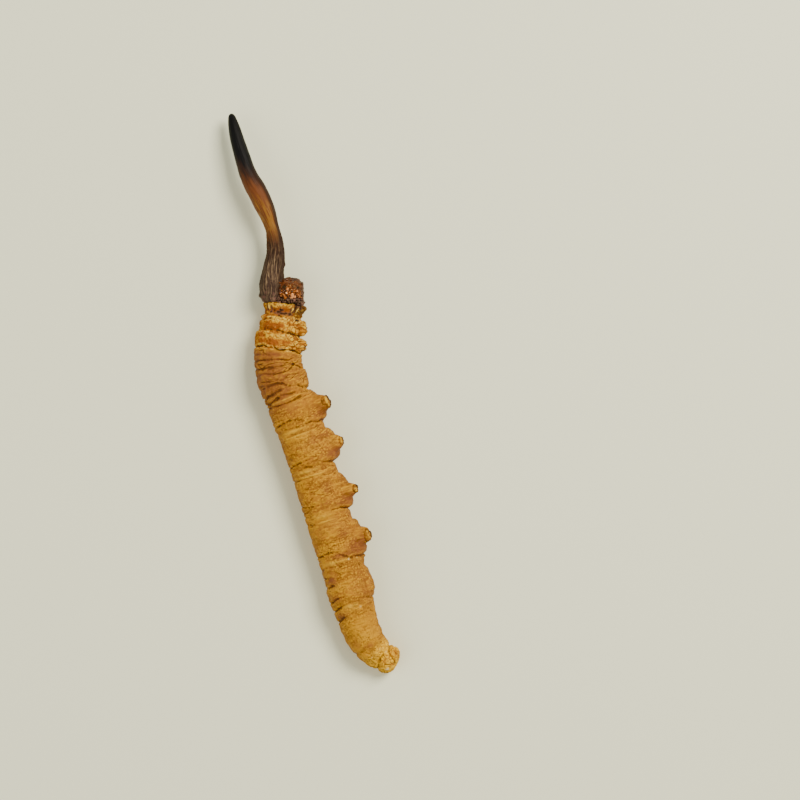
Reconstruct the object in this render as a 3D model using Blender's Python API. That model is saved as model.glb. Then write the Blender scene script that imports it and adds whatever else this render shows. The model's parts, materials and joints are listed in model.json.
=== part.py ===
"""Dried cordyceps: a ghost-moth larva turned hard, with the fungus's stalk grown out of its head.

The larva lies on its side. Its stalk points to +Y, its legs point to +X and +Z is up. The surface
that it lies on is the plane Z = 0, and the origin is at the middle of its bounding box, on that plane.
Lengths below are in millimetres and angles in degrees; the meshes are in metres.
"""
import math

import bmesh
import bpy
import numpy as np
from mathutils import Vector, noise

MM = 0.001
LINE_SAMPLES = 800  # places along a smooth line at which its length is measured

# ---- Body: a line through the middle of its rings, seen from above, from the neck to the tail end
BODY_LINE = [(-3.8, 11.35), (-4.2, 7.8), (-4.45, 3.2), (-3.15, -1.0), (-1.15, -6.0), (0.6, -11.7),
             (2.4, -17.6), (3.95, -22.9), (5.4, -28.3), (6.6, -31.1), (8.2, -32.75), (10.45, -34.0)]
# distance from the neck, half the body's thickness there without its folds
BODY_GIRTH = [(0.0, 2.4), (1.5, 2.42), (3.0, 2.6), (5.0, 2.85), (7.5, 3.0), (10.0, 2.98), (13.0, 2.88),
              (16.0, 3.0), (20.0, 2.95), (25.0, 2.86), (31.0, 2.84), (36.0, 2.76), (39.0, 2.72),
              (41.0, 2.5), (43.0, 2.36), (45.5, 2.16), (47.5, 1.78), (49.0, 1.5)]
NECK_ROUNDING = 0.45
TAIL_ROUNDING = 0.8
CLOSING_TURNS = (25, 55, 90)  # where the rings stand on the quarter circle that rounds each end
SUNK_IN_FLOOR = 0.12  # what the flat places on the underside cut off the round
BELLY_ROLL = -8.0  # the belly's middle line faces +X, turned this much below level

# Folds: distance from the neck, depth, width, share of the depth on the belly, share on the back,
# and how much further back the fold runs on the belly than on the back
FOLD_SHARPNESS = 1.4  # 2 is a round valley, 1 a knife cut
FOLD_SHOULDER = 1.5  # a fold's edge is this many widths from its bottom
FOLDS = [
    (1.2, 0.42, 0.36, 0.8, 1.0, -0.1), (2.1, 0.30, 0.22, 1.0, 0.8, 0.2), (3.85, 0.50, 0.28, 1.0, 0.9, 0.4),
    (6.0, 0.42, 0.22, 1.0, 0.8, 0.25), (6.65, 0.20, 0.16, 0.6, 1.0, -0.1), (7.35, 0.28, 0.20, 0.9, 1.0, -0.25),
    (8.2, 0.26, 0.20, 0.9, 1.0, -0.25), (8.85, 0.22, 0.18, 1.0, 1.0, -0.25), (10.4, 0.34, 0.22, 0.8, 1.0, -0.1),
    (11.15, 0.22, 0.18, 0.3, 1.0, 0.0), (11.8, 0.32, 0.24, 1.2, 0.9, 0.0), (12.65, 0.36, 0.22, 0.9, 1.0, 0.1),
    (14.35, 0.18, 0.18, 0.0, 1.0, 0.0), (15.3, 0.22, 0.18, 0.0, 1.0, 0.0), (16.15, 0.30, 0.26, 1.3, 0.7, 0.0),
    (16.85, 0.20, 0.18, 0.7, 1.0, 0.0), (17.6, 0.26, 0.22, 0.8, 1.0, 0.0), (19.55, 0.18, 0.18, 0.0, 1.0, 0.0),
    (20.45, 0.24, 0.18, 0.2, 1.0, 0.0), (21.2, 0.28, 0.26, 1.3, 0.7, 0.0), (21.95, 0.20, 0.18, 0.8, 0.9, 0.0),
    (22.85, 0.24, 0.22, 0.7, 1.0, 0.0), (25.5, 0.22, 0.18, 0.0, 1.0, 0.0), (26.45, 0.26, 0.20, 0.1, 1.0, 0.0),
    (27.5, 0.32, 0.28, 1.3, 0.7, 0.0), (28.2, 0.18, 0.18, 0.8, 1.0, 0.0), (28.95, 0.24, 0.22, 0.7, 1.0, 0.0),
    (32.3, 0.40, 0.20, 0.1, 1.0, 0.2), (33.5, 0.34, 0.28, 1.3, 0.7, 0.0), (34.15, 0.20, 0.18, 0.8, 0.9, 0.0),
    (34.85, 0.24, 0.22, 0.6, 1.0, 0.0), (36.3, 0.28, 0.22, 0.1, 1.0, 0.3), (38.4, 0.34, 0.24, 0.8, 1.0, 0.2),
    (39.4, 0.38, 0.22, 0.2, 1.0, -0.4), (41.05, 0.34, 0.24, 0.1, 1.0, -0.5), (44.3, 0.18, 0.22, 0.6, 1.0, 0.0),
    (45.5, 0.20, 0.20, 0.5, 1.0, 0.2), (46.85, 0.36, 0.26, 1.0, 1.0, -0.2), (47.9, 0.18, 0.20, 0.3, 1.0, 0.2),
]

# Belly swellings: distance from the neck to where each starts, is highest and ends, and its height
SWELLINGS = [(8.9, 10.3, 11.7, 0.26), (12.2, 15.0, 16.5, 0.95), (17.4, 20.0, 21.5, 0.98),
             (23.0, 25.8, 27.7, 0.95), (29.1, 31.6, 34.0, 0.92), (35.0, 37.5, 38.9, 0.40)]
SWELLING_SPREAD = 52.0

# Pairs of legs: distance from the neck, how far each stands out of the swelling, radius of its sole
# and of its root; and how far round each leg of a pair is from the belly's middle line
BELLY_LEGS = [(14.5, 1.22, 0.76, 1.45), (19.4, 1.06, 0.52, 1.2), (25.5, 1.15, 0.52, 1.2),
              (31.45, 1.05, 0.72, 1.4)]
BELLY_LEG_SPREAD = 26.0
CHEST_LEGS = [(0.75, 0.40, 0.20, 0.60), (3.05, 0.62, 0.25, 0.72), (5.1, 0.60, 0.25, 0.75)]
CHEST_LEG_SPREAD = 17.0
TAIL_LEGS = [(48.2, 0.50, 0.42, 0.85)]
TAIL_LEG_SPREAD = 42.0

LUMP_SIZE = 1.6
LUMP_HEIGHT = 0.09
CRUST_SIZE = 0.75
CRUST_HEIGHT = 0.11
CRUST_SHIFT = 20.0  # keeps the crust's lumps from following the larger ones
CRUST_END = 6.4  # the crusted chest rings stop this far from the neck
CRUST_TAIL = 45.6  # and the tail end is as rough from here on

BODY_SIDES = 32
SIDE_CROWDING = 1.6  # the sides of a ring are about this much closer together on the belly
LONGEST_STEP = 0.58  # no two rings of the body's mesh are further apart than this
SHORTEST_STEP = 0.27

# ---- Stalk: the middle of the fungus's stalk from its tip to its foot, with the height above the floor
STALK_LINE = [(-10.4, 34.9, 2.3), (-9.6, 31.6, 2.8), (-8.8, 29.0, 3.2), (-8.0, 26.8, 3.45),
              (-7.0, 25.0, 3.55), (-5.9, 22.6, 3.6), (-5.15, 20.3, 3.5), (-4.8, 17.8, 3.35),
              (-5.06, 15.3, 3.1), (-5.3, 13.4, 2.95), (-5.4, 11.75, 2.85)]
# distance from the tip, half the stalk's thickness there
STALK_GIRTH = [(0.0, 0.34), (1.2, 0.62), (3.7, 0.88), (6.2, 1.0), (8.7, 1.13), (11.2, 1.24), (13.7, 1.04),
               (15.0, 0.87), (16.5, 0.9), (18.3, 1.04), (20.2, 1.2), (22.0, 1.42), (23.0, 1.54), (24.0, 1.45)]
STALK_WRINKLES = 6  # lengthwise ridges round its lower half
STALK_WRINKLE_DEPTH = 0.1
STALK_WRINKLE_TWIST = 0.25  # how the ridges wind round the stalk, in radians a millimetre
STALK_SMOOTH_END = 15.0
STALK_WRINKLE_RISE = 3.0  # the ridges reach their full depth this much further on
STALK_RINGS = 27
STALK_SIDES = 18
END_RING = 0.1  # the first and last ring stand this share of the rounding from the ends
FOOT_HEIGHT_SHARE = 1.35  # the foot is this much taller than it is wide
STALK_TIP_ROUNDING = 0.45
STALK_FOOT_ROUNDING = 0.35

# ---- Head: the capsule between the neck and the stalk's foot
HEAD_CENTRE = (-2.85, 12.8, 2.75)
HEAD_RADII = (1.6, 1.5, 2.3)
HEAD_LUMP_SIZE = 1.0
HEAD_LUMP_HEIGHT = 0.16
HEAD_SIDES = 20
HEAD_RINGS = 12
GAP = 0.3  # the three pieces keep this far apart

# ---- Materials: colour and roughness
SKIN = (0.48, 0.22, 0.045)
SKIN_ROUGHNESS = 0.55
HORN = (0.19, 0.045, 0.012)
HORN_ROUGHNESS = 0.35
FUNGUS = (0.10, 0.055, 0.03)
FUNGUS_ROUGHNESS = 0.6


def natural_spline(knots, values, at):
    """A natural cubic spline through the values at the knots, read at the places asked for."""
    steps = np.diff(knots)
    slopes = np.diff(values, axis=0) / steps[:, None]
    count = len(knots)
    system = np.eye(count)
    bends = np.zeros_like(values)
    for i in range(1, count - 1):
        system[i, i - 1:i + 2] = steps[i - 1], 2 * (steps[i - 1] + steps[i]), steps[i]
        bends[i] = 6 * (slopes[i] - slopes[i - 1])
    bends = np.linalg.solve(system, bends)
    left = np.clip(np.searchsorted(knots, at) - 1, 0, count - 2)
    width = steps[left][:, None]
    a = (knots[left + 1] - at)[:, None] / width
    b = 1 - a
    curve = ((a ** 3 - a) * bends[left] + (b ** 3 - b) * bends[left + 1]) * width ** 2 / 6
    return a * values[left] + b * values[left + 1] + curve


def smooth_line(points):
    """A smooth curve through the points and the distance along it: (distances, places)."""
    points = np.array(points, float)
    knots = np.concatenate([[0.0], np.cumsum(np.linalg.norm(np.diff(points, axis=0), axis=1))])
    places = natural_spline(knots, points, np.linspace(0, knots[-1], LINE_SAMPLES))
    distances = np.concatenate([[0.0], np.cumsum(np.linalg.norm(np.diff(places, axis=0), axis=1))])
    return distances, places


def read_line(line, at):
    """The places and directions of a smooth line at the distances asked for."""
    distances, places = line
    directions = np.gradient(places, distances, axis=0)
    place = np.stack([np.interp(at, distances, places[:, k]) for k in range(places.shape[1])], axis=1)
    direction = np.stack([np.interp(at, distances, directions[:, k]) for k in range(places.shape[1])], axis=1)
    return place, direction / np.linalg.norm(direction, axis=1, keepdims=True)


def smooth_table(table, at):
    """The second column of a table read smoothly at places along its first."""
    table = np.array(table, float)
    return natural_spline(table[:, 0], table[:, 1:2], at)[:, 0]


def round_off(at, length, front, back):
    """How much of its full girth a rounded bar has at each distance along it: 0 at both ends."""
    from_front = np.clip(at / front, 0, 1)
    from_back = np.clip((length - at) / back, 0, 1)
    return np.sqrt(1 - (1 - from_front) ** 2) * np.sqrt(1 - (1 - from_back) ** 2)


def rings_round(places, directions, angles, radii, height_share=1.0):
    """Points on rings square to a line: angle 0 is its +X side, 90 degrees is up."""
    side = np.stack([-directions[:, 1], directions[:, 0], np.zeros(len(directions))], axis=1)
    side /= np.linalg.norm(side, axis=1, keepdims=True)
    up = np.cross(directions, side)
    across = (radii * np.cos(angles))[:, :, None] * side[:, None, :]
    upward = (radii * np.sin(angles) * np.reshape(height_share, (-1, 1)))[:, :, None] * up[:, None, :]
    return places[:, None, :] + across + upward


def lumps(points, size, height):
    """Rounded unevenness: how far each point stands in or out."""
    heights = [noise.noise(Vector(point) / size) for point in points.reshape(-1, 3)]
    return height * np.array(heights).reshape(points.shape[:-1])


def fold_relief(at, turns):
    """How deep the folds press into the body, at distances along it and angles from the belly's middle."""
    relief = np.zeros((len(at), len(turns)))
    belly = (1 + np.cos(turns)) / 2
    for place, depth, width, on_belly, on_back, lean in FOLDS:
        share = on_belly * belly + on_back * (1 - belly)
        off = np.abs(at[:, None] - place - lean * np.cos(turns)) / width
        relief -= depth * share * np.exp(-off ** FOLD_SHARPNESS)
    return relief


def swelling_relief(at, turns):
    """The belly's swelling on each leg-bearing ring: a long rise, a shorter fall."""
    relief = np.zeros((len(at), len(turns)))
    round_belly = np.exp(-(turns / math.radians(SWELLING_SPREAD)) ** 2)
    for start, top, end, height in SWELLINGS:
        rise = np.interp(at, [start, top, end], [0, 1, 0])
        relief += height * np.sqrt(rise * (2 - rise))[:, None] * round_belly
    return relief


def leg_relief(at, turns, girth, legs, spread):
    """Pairs of stubby legs: a cut-off cone with a flat sole, on both sides of the belly's middle line."""
    relief = np.zeros((len(at), len(turns)))
    for place, reach, sole, root in legs:
        for side in (spread, -spread):
            round_way = (girth[:, None] + reach) * (turns - math.radians(side))
            away = np.hypot(at[:, None] - place, round_way)
            rise = np.clip((root - away) / (root - sole), 0, 1)
            relief += reach * rise * rise * (3 - 2 * rise)
    return relief


def body_stations(length):
    """Distances of the body mesh's rings: on each leg and fold, the legs first, and between them."""
    closing = [1 - math.cos(math.radians(a)) for a in CLOSING_TURNS]
    wanted = [NECK_ROUNDING * c for c in closing] + [length - TAIL_ROUNDING * c for c in closing]
    for place, _, sole, root in BELLY_LEGS + CHEST_LEGS + TAIL_LEGS:
        wanted += [place, place - sole, place + sole, place - root, place + root]
    wanted += [fold[0] for fold in FOLDS]
    wanted += [fold[0] + side * FOLD_SHOULDER * fold[2] for fold in FOLDS for side in (-1, 1)]
    stations = []
    for station in wanted:
        if all(abs(station - other) > SHORTEST_STEP for other in stations) or station < NECK_ROUNDING:
            stations.append(station)
    stations.sort()
    filled = stations[:1]
    for station in stations[1:]:
        parts = math.ceil((station - filled[-1]) / LONGEST_STEP)
        filled += list(np.linspace(filled[-1], station, parts + 1)[1:])
    return np.array(filled)


def crowded_angles(count, crowd_at):
    """Angles round a ring, closer together near 0, with a point at the angle asked for."""
    even = np.arange(count) * 2 * math.pi / count
    anchor = even[round(SIDE_CROWDING * math.radians(crowd_at) / even[1])]
    crowding = (anchor - math.radians(crowd_at)) / math.sin(anchor)
    angles = even - crowding * np.sin(even)
    return np.where(angles > math.pi, angles - 2 * math.pi, angles)


def lofted_mesh(name, rings):
    """A closed mesh over rings of points, with a point in the middle of each end ring."""
    mesh = bmesh.new()
    corners = [[mesh.verts.new(Vector(point) * MM) for point in ring] for ring in rings]
    count = len(corners[0])
    for ring, following in zip(corners, corners[1:]):
        for j in range(count):
            k = (j + 1) % count
            mesh.faces.new((ring[j], ring[k], following[k], following[j]))
    first = mesh.verts.new(Vector(rings[0].mean(axis=0)) * MM)
    last = mesh.verts.new(Vector(rings[-1].mean(axis=0)) * MM)
    for j in range(count):
        k = (j + 1) % count
        mesh.faces.new((first, corners[0][k], corners[0][j]))
        mesh.faces.new((last, corners[-1][j], corners[-1][k]))
    data = bpy.data.meshes.new(name)
    mesh.to_mesh(data)
    mesh.free()
    return data


def paint(name, colour, roughness):
    """A plain material of one colour."""
    material = bpy.data.materials.new(name)
    material.use_nodes = True
    shader = material.node_tree.nodes["Principled BSDF"]
    shader.inputs["Base Color"].default_value = (*colour, 1.0)
    shader.inputs["Roughness"].default_value = roughness
    shader.inputs["Metallic"].default_value = 0.0
    return material


def add_piece(collection, name, mesh, material):
    """Put a finished mesh in the collection as an object of its own."""
    mesh.shade_smooth()
    mesh.materials.append(material)
    piece = bpy.data.objects.new(name, mesh)
    collection.objects.link(piece)
    return piece


def larva_body(collection):
    """The rings of the chest and belly with their folds, legs and crust, flat where they rest."""
    flat = [(x, y, 0.0) for x, y in BODY_LINE]
    line = smooth_line(flat)
    length = line[0][-1]
    at = body_stations(length)
    girth = smooth_table(BODY_GIRTH, at)
    turns = crowded_angles(BODY_SIDES, BELLY_LEG_SPREAD)
    relief = fold_relief(at, turns) + swelling_relief(at, turns)
    relief += leg_relief(at, turns, girth, BELLY_LEGS, BELLY_LEG_SPREAD)
    relief += leg_relief(at, turns, girth, CHEST_LEGS, CHEST_LEG_SPREAD)
    relief += leg_relief(at, turns, girth, TAIL_LEGS, TAIL_LEG_SPREAD)
    places, directions = read_line(line, at)
    places[:, 2] = girth - SUNK_IN_FLOOR
    angles = np.tile(turns + math.radians(BELLY_ROLL), (len(at), 1))
    smooth_skin = rings_round(places, directions, angles, np.tile(girth[:, None], (1, len(turns))))
    relief += lumps(smooth_skin, LUMP_SIZE, LUMP_HEIGHT)
    crusted = np.clip(np.maximum(CRUST_END - at, at - CRUST_TAIL), 0, 1)[:, None]
    relief += crusted * lumps(smooth_skin + CRUST_SHIFT, CRUST_SIZE, CRUST_HEIGHT)
    radii = (girth[:, None] + relief) * round_off(at, length, NECK_ROUNDING, TAIL_ROUNDING)[:, None]
    rings = rings_round(places, directions, angles, radii)
    rings[:, :, 2] = np.maximum(rings[:, :, 2], 0.0)
    mesh = lofted_mesh("larva_body", rings)
    return add_piece(collection, "larva_body", mesh, paint("dried_skin", SKIN, SKIN_ROUGHNESS))


def stroma(collection):
    """The fungus's stalk: a thin club that narrows at mid length and is ridged towards its foot."""
    line = smooth_line(STALK_LINE)
    length = line[0][-1]
    share = np.linspace(0.0, 1.0, STALK_RINGS)
    at = END_RING * STALK_TIP_ROUNDING * (1 - share) + (length - END_RING * STALK_FOOT_ROUNDING) * share
    girth = smooth_table(STALK_GIRTH, at)
    turns = np.arange(STALK_SIDES) * 2 * math.pi / STALK_SIDES
    ridged = np.clip((at - STALK_SMOOTH_END) / STALK_WRINKLE_RISE, 0, 1)[:, None]
    ridges = STALK_WRINKLE_DEPTH * ridged * np.cos(STALK_WRINKLES * turns + STALK_WRINKLE_TWIST * at[:, None])
    places, directions = read_line(line, at)
    angles = np.tile(turns, (len(at), 1))
    tall = 1 + (FOOT_HEIGHT_SHARE - 1) * np.clip((at - STALK_SMOOTH_END) / (length - STALK_SMOOTH_END), 0, 1)
    closing = round_off(at, length, STALK_TIP_ROUNDING, STALK_FOOT_ROUNDING)[:, None]
    radii = (girth[:, None] + ridges) * closing
    rings = rings_round(places, directions, angles, radii, tall)
    mesh = lofted_mesh("stroma", rings)
    return add_piece(collection, "stroma", mesh, paint("dried_fungus", FUNGUS, FUNGUS_ROUGHNESS))


def head_capsule(collection):
    """The head: a lumpy ball, pressed flat where the neck and the stalk's foot sit against it."""
    ball = bmesh.new()
    bmesh.ops.create_uvsphere(ball, u_segments=HEAD_SIDES, v_segments=HEAD_RINGS, radius=1.0)
    neck_side = BODY_LINE[0][1] + GAP
    foot_side = STALK_LINE[-1][0] + STALK_GIRTH[-2][1] + GAP
    for vert in ball.verts:
        swell = 1 + HEAD_LUMP_HEIGHT * noise.noise(vert.co * HEAD_RADII[0] / HEAD_LUMP_SIZE)
        place = Vector(c + r * p * swell for c, r, p in zip(HEAD_CENTRE, HEAD_RADII, vert.co))
        place.x = max(place.x, foot_side)
        place.y = max(place.y, neck_side)
        vert.co = place * MM
    mesh = bpy.data.meshes.new("head_capsule")
    ball.to_mesh(mesh)
    ball.free()
    return add_piece(collection, "head_capsule", mesh, paint("head_horn", HORN, HORN_ROUGHNESS))


def clear_scene():
    """Start from an empty scene."""
    for old in list(bpy.data.objects):
        bpy.data.objects.remove(old, do_unlink=True)


def main():
    clear_scene()
    collection = bpy.data.collections.new("dried_cordyceps")
    bpy.context.scene.collection.children.link(collection)
    larva_body(collection)
    head_capsule(collection)
    stroma(collection)


main()
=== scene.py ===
"""Dried cordyceps: the finished surfaces of the larva's body, its legs and head, and the fungus's stalk.

Laid out as an add-on: each piece has an operator, its sizes and colours are properties, and a panel in
the 3D view's sidebar lists them. Run as a script it makes every piece and the stage, in that order.
"""
import json
import math

import bpy
import numpy as np
from bpy.props import FloatProperty, FloatVectorProperty, PointerProperty
from bpy.types import Operator, Panel, PropertyGroup
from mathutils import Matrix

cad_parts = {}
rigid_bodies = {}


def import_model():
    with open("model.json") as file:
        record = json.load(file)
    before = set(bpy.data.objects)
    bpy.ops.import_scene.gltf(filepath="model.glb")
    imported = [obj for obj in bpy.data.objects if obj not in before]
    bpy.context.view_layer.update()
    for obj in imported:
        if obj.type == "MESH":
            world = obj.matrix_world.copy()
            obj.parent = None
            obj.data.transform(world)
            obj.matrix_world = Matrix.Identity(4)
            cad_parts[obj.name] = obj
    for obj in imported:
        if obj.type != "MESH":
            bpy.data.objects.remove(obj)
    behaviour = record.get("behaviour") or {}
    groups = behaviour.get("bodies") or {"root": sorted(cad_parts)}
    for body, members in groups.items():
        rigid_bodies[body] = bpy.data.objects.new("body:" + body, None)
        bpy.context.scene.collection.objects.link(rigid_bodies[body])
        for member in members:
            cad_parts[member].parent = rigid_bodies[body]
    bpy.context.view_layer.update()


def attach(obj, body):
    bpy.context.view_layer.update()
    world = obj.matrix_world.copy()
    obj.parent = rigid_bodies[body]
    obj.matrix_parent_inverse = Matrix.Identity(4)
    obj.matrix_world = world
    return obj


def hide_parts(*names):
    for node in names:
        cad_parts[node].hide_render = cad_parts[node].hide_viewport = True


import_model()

bl_info = {
    "name": "Dried cordyceps",
    "version": (1, 0, 0),
    "blender": (4, 5, 0),
    "location": "3D View > Sidebar > Cordyceps",
    "description": "Makes a dried cordyceps with folds, legs, crust, head and stalk",
    "category": "Add Mesh",
}

# Lengths are in millimetres and angles in degrees, unless a property says metres. A point's place on
# the body is its distance from the neck and its turn round from the belly's middle line: 0 is the belly,
# 90 degrees the side that faces up, 180 degrees the back.
MM = 0.001
TINY = 1e-9
SEED = 11
LINE_STEPS = 800
END_RINGS = 7  # rings on each rounded end of the body and of the stalk

# ---- Body
BODY_LINE = [
    (-3.8, 11.35), (-4.2, 7.8), (-4.45, 3.2), (-3.15, -1), (-1.15, -6), (0.6, -11.7), (2.4, -17.6),
    (3.95, -22.9), (5.4, -28.3), (6.6, -31.1), (8.2, -32.75), (10.45, -34),
]
BODY_GIRTH = [
    (0, 2.4), (1.5, 2.42), (3, 2.6), (5, 2.85), (7.5, 3), (10, 2.98), (13, 2.88), (16, 3), (20, 2.95),
    (25, 2.86), (31, 2.84), (36, 2.76), (39, 2.72), (41, 2.5), (43, 2.36), (45.5, 2.16), (47.5, 1.78),
    (49, 1.5),
]
# the lengths over which its two ends close
NECK_ROUNDING = 0.45
TAIL_ROUNDING = 0.8
SUNK_IN_FLOOR = 0.12  # how much of its round underside is pressed flat
BELLY_ROLL = -8.0  # how far the belly is rolled from level
USUAL_GIRTH = 2.8  # the girth that patterns are laid out by

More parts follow.
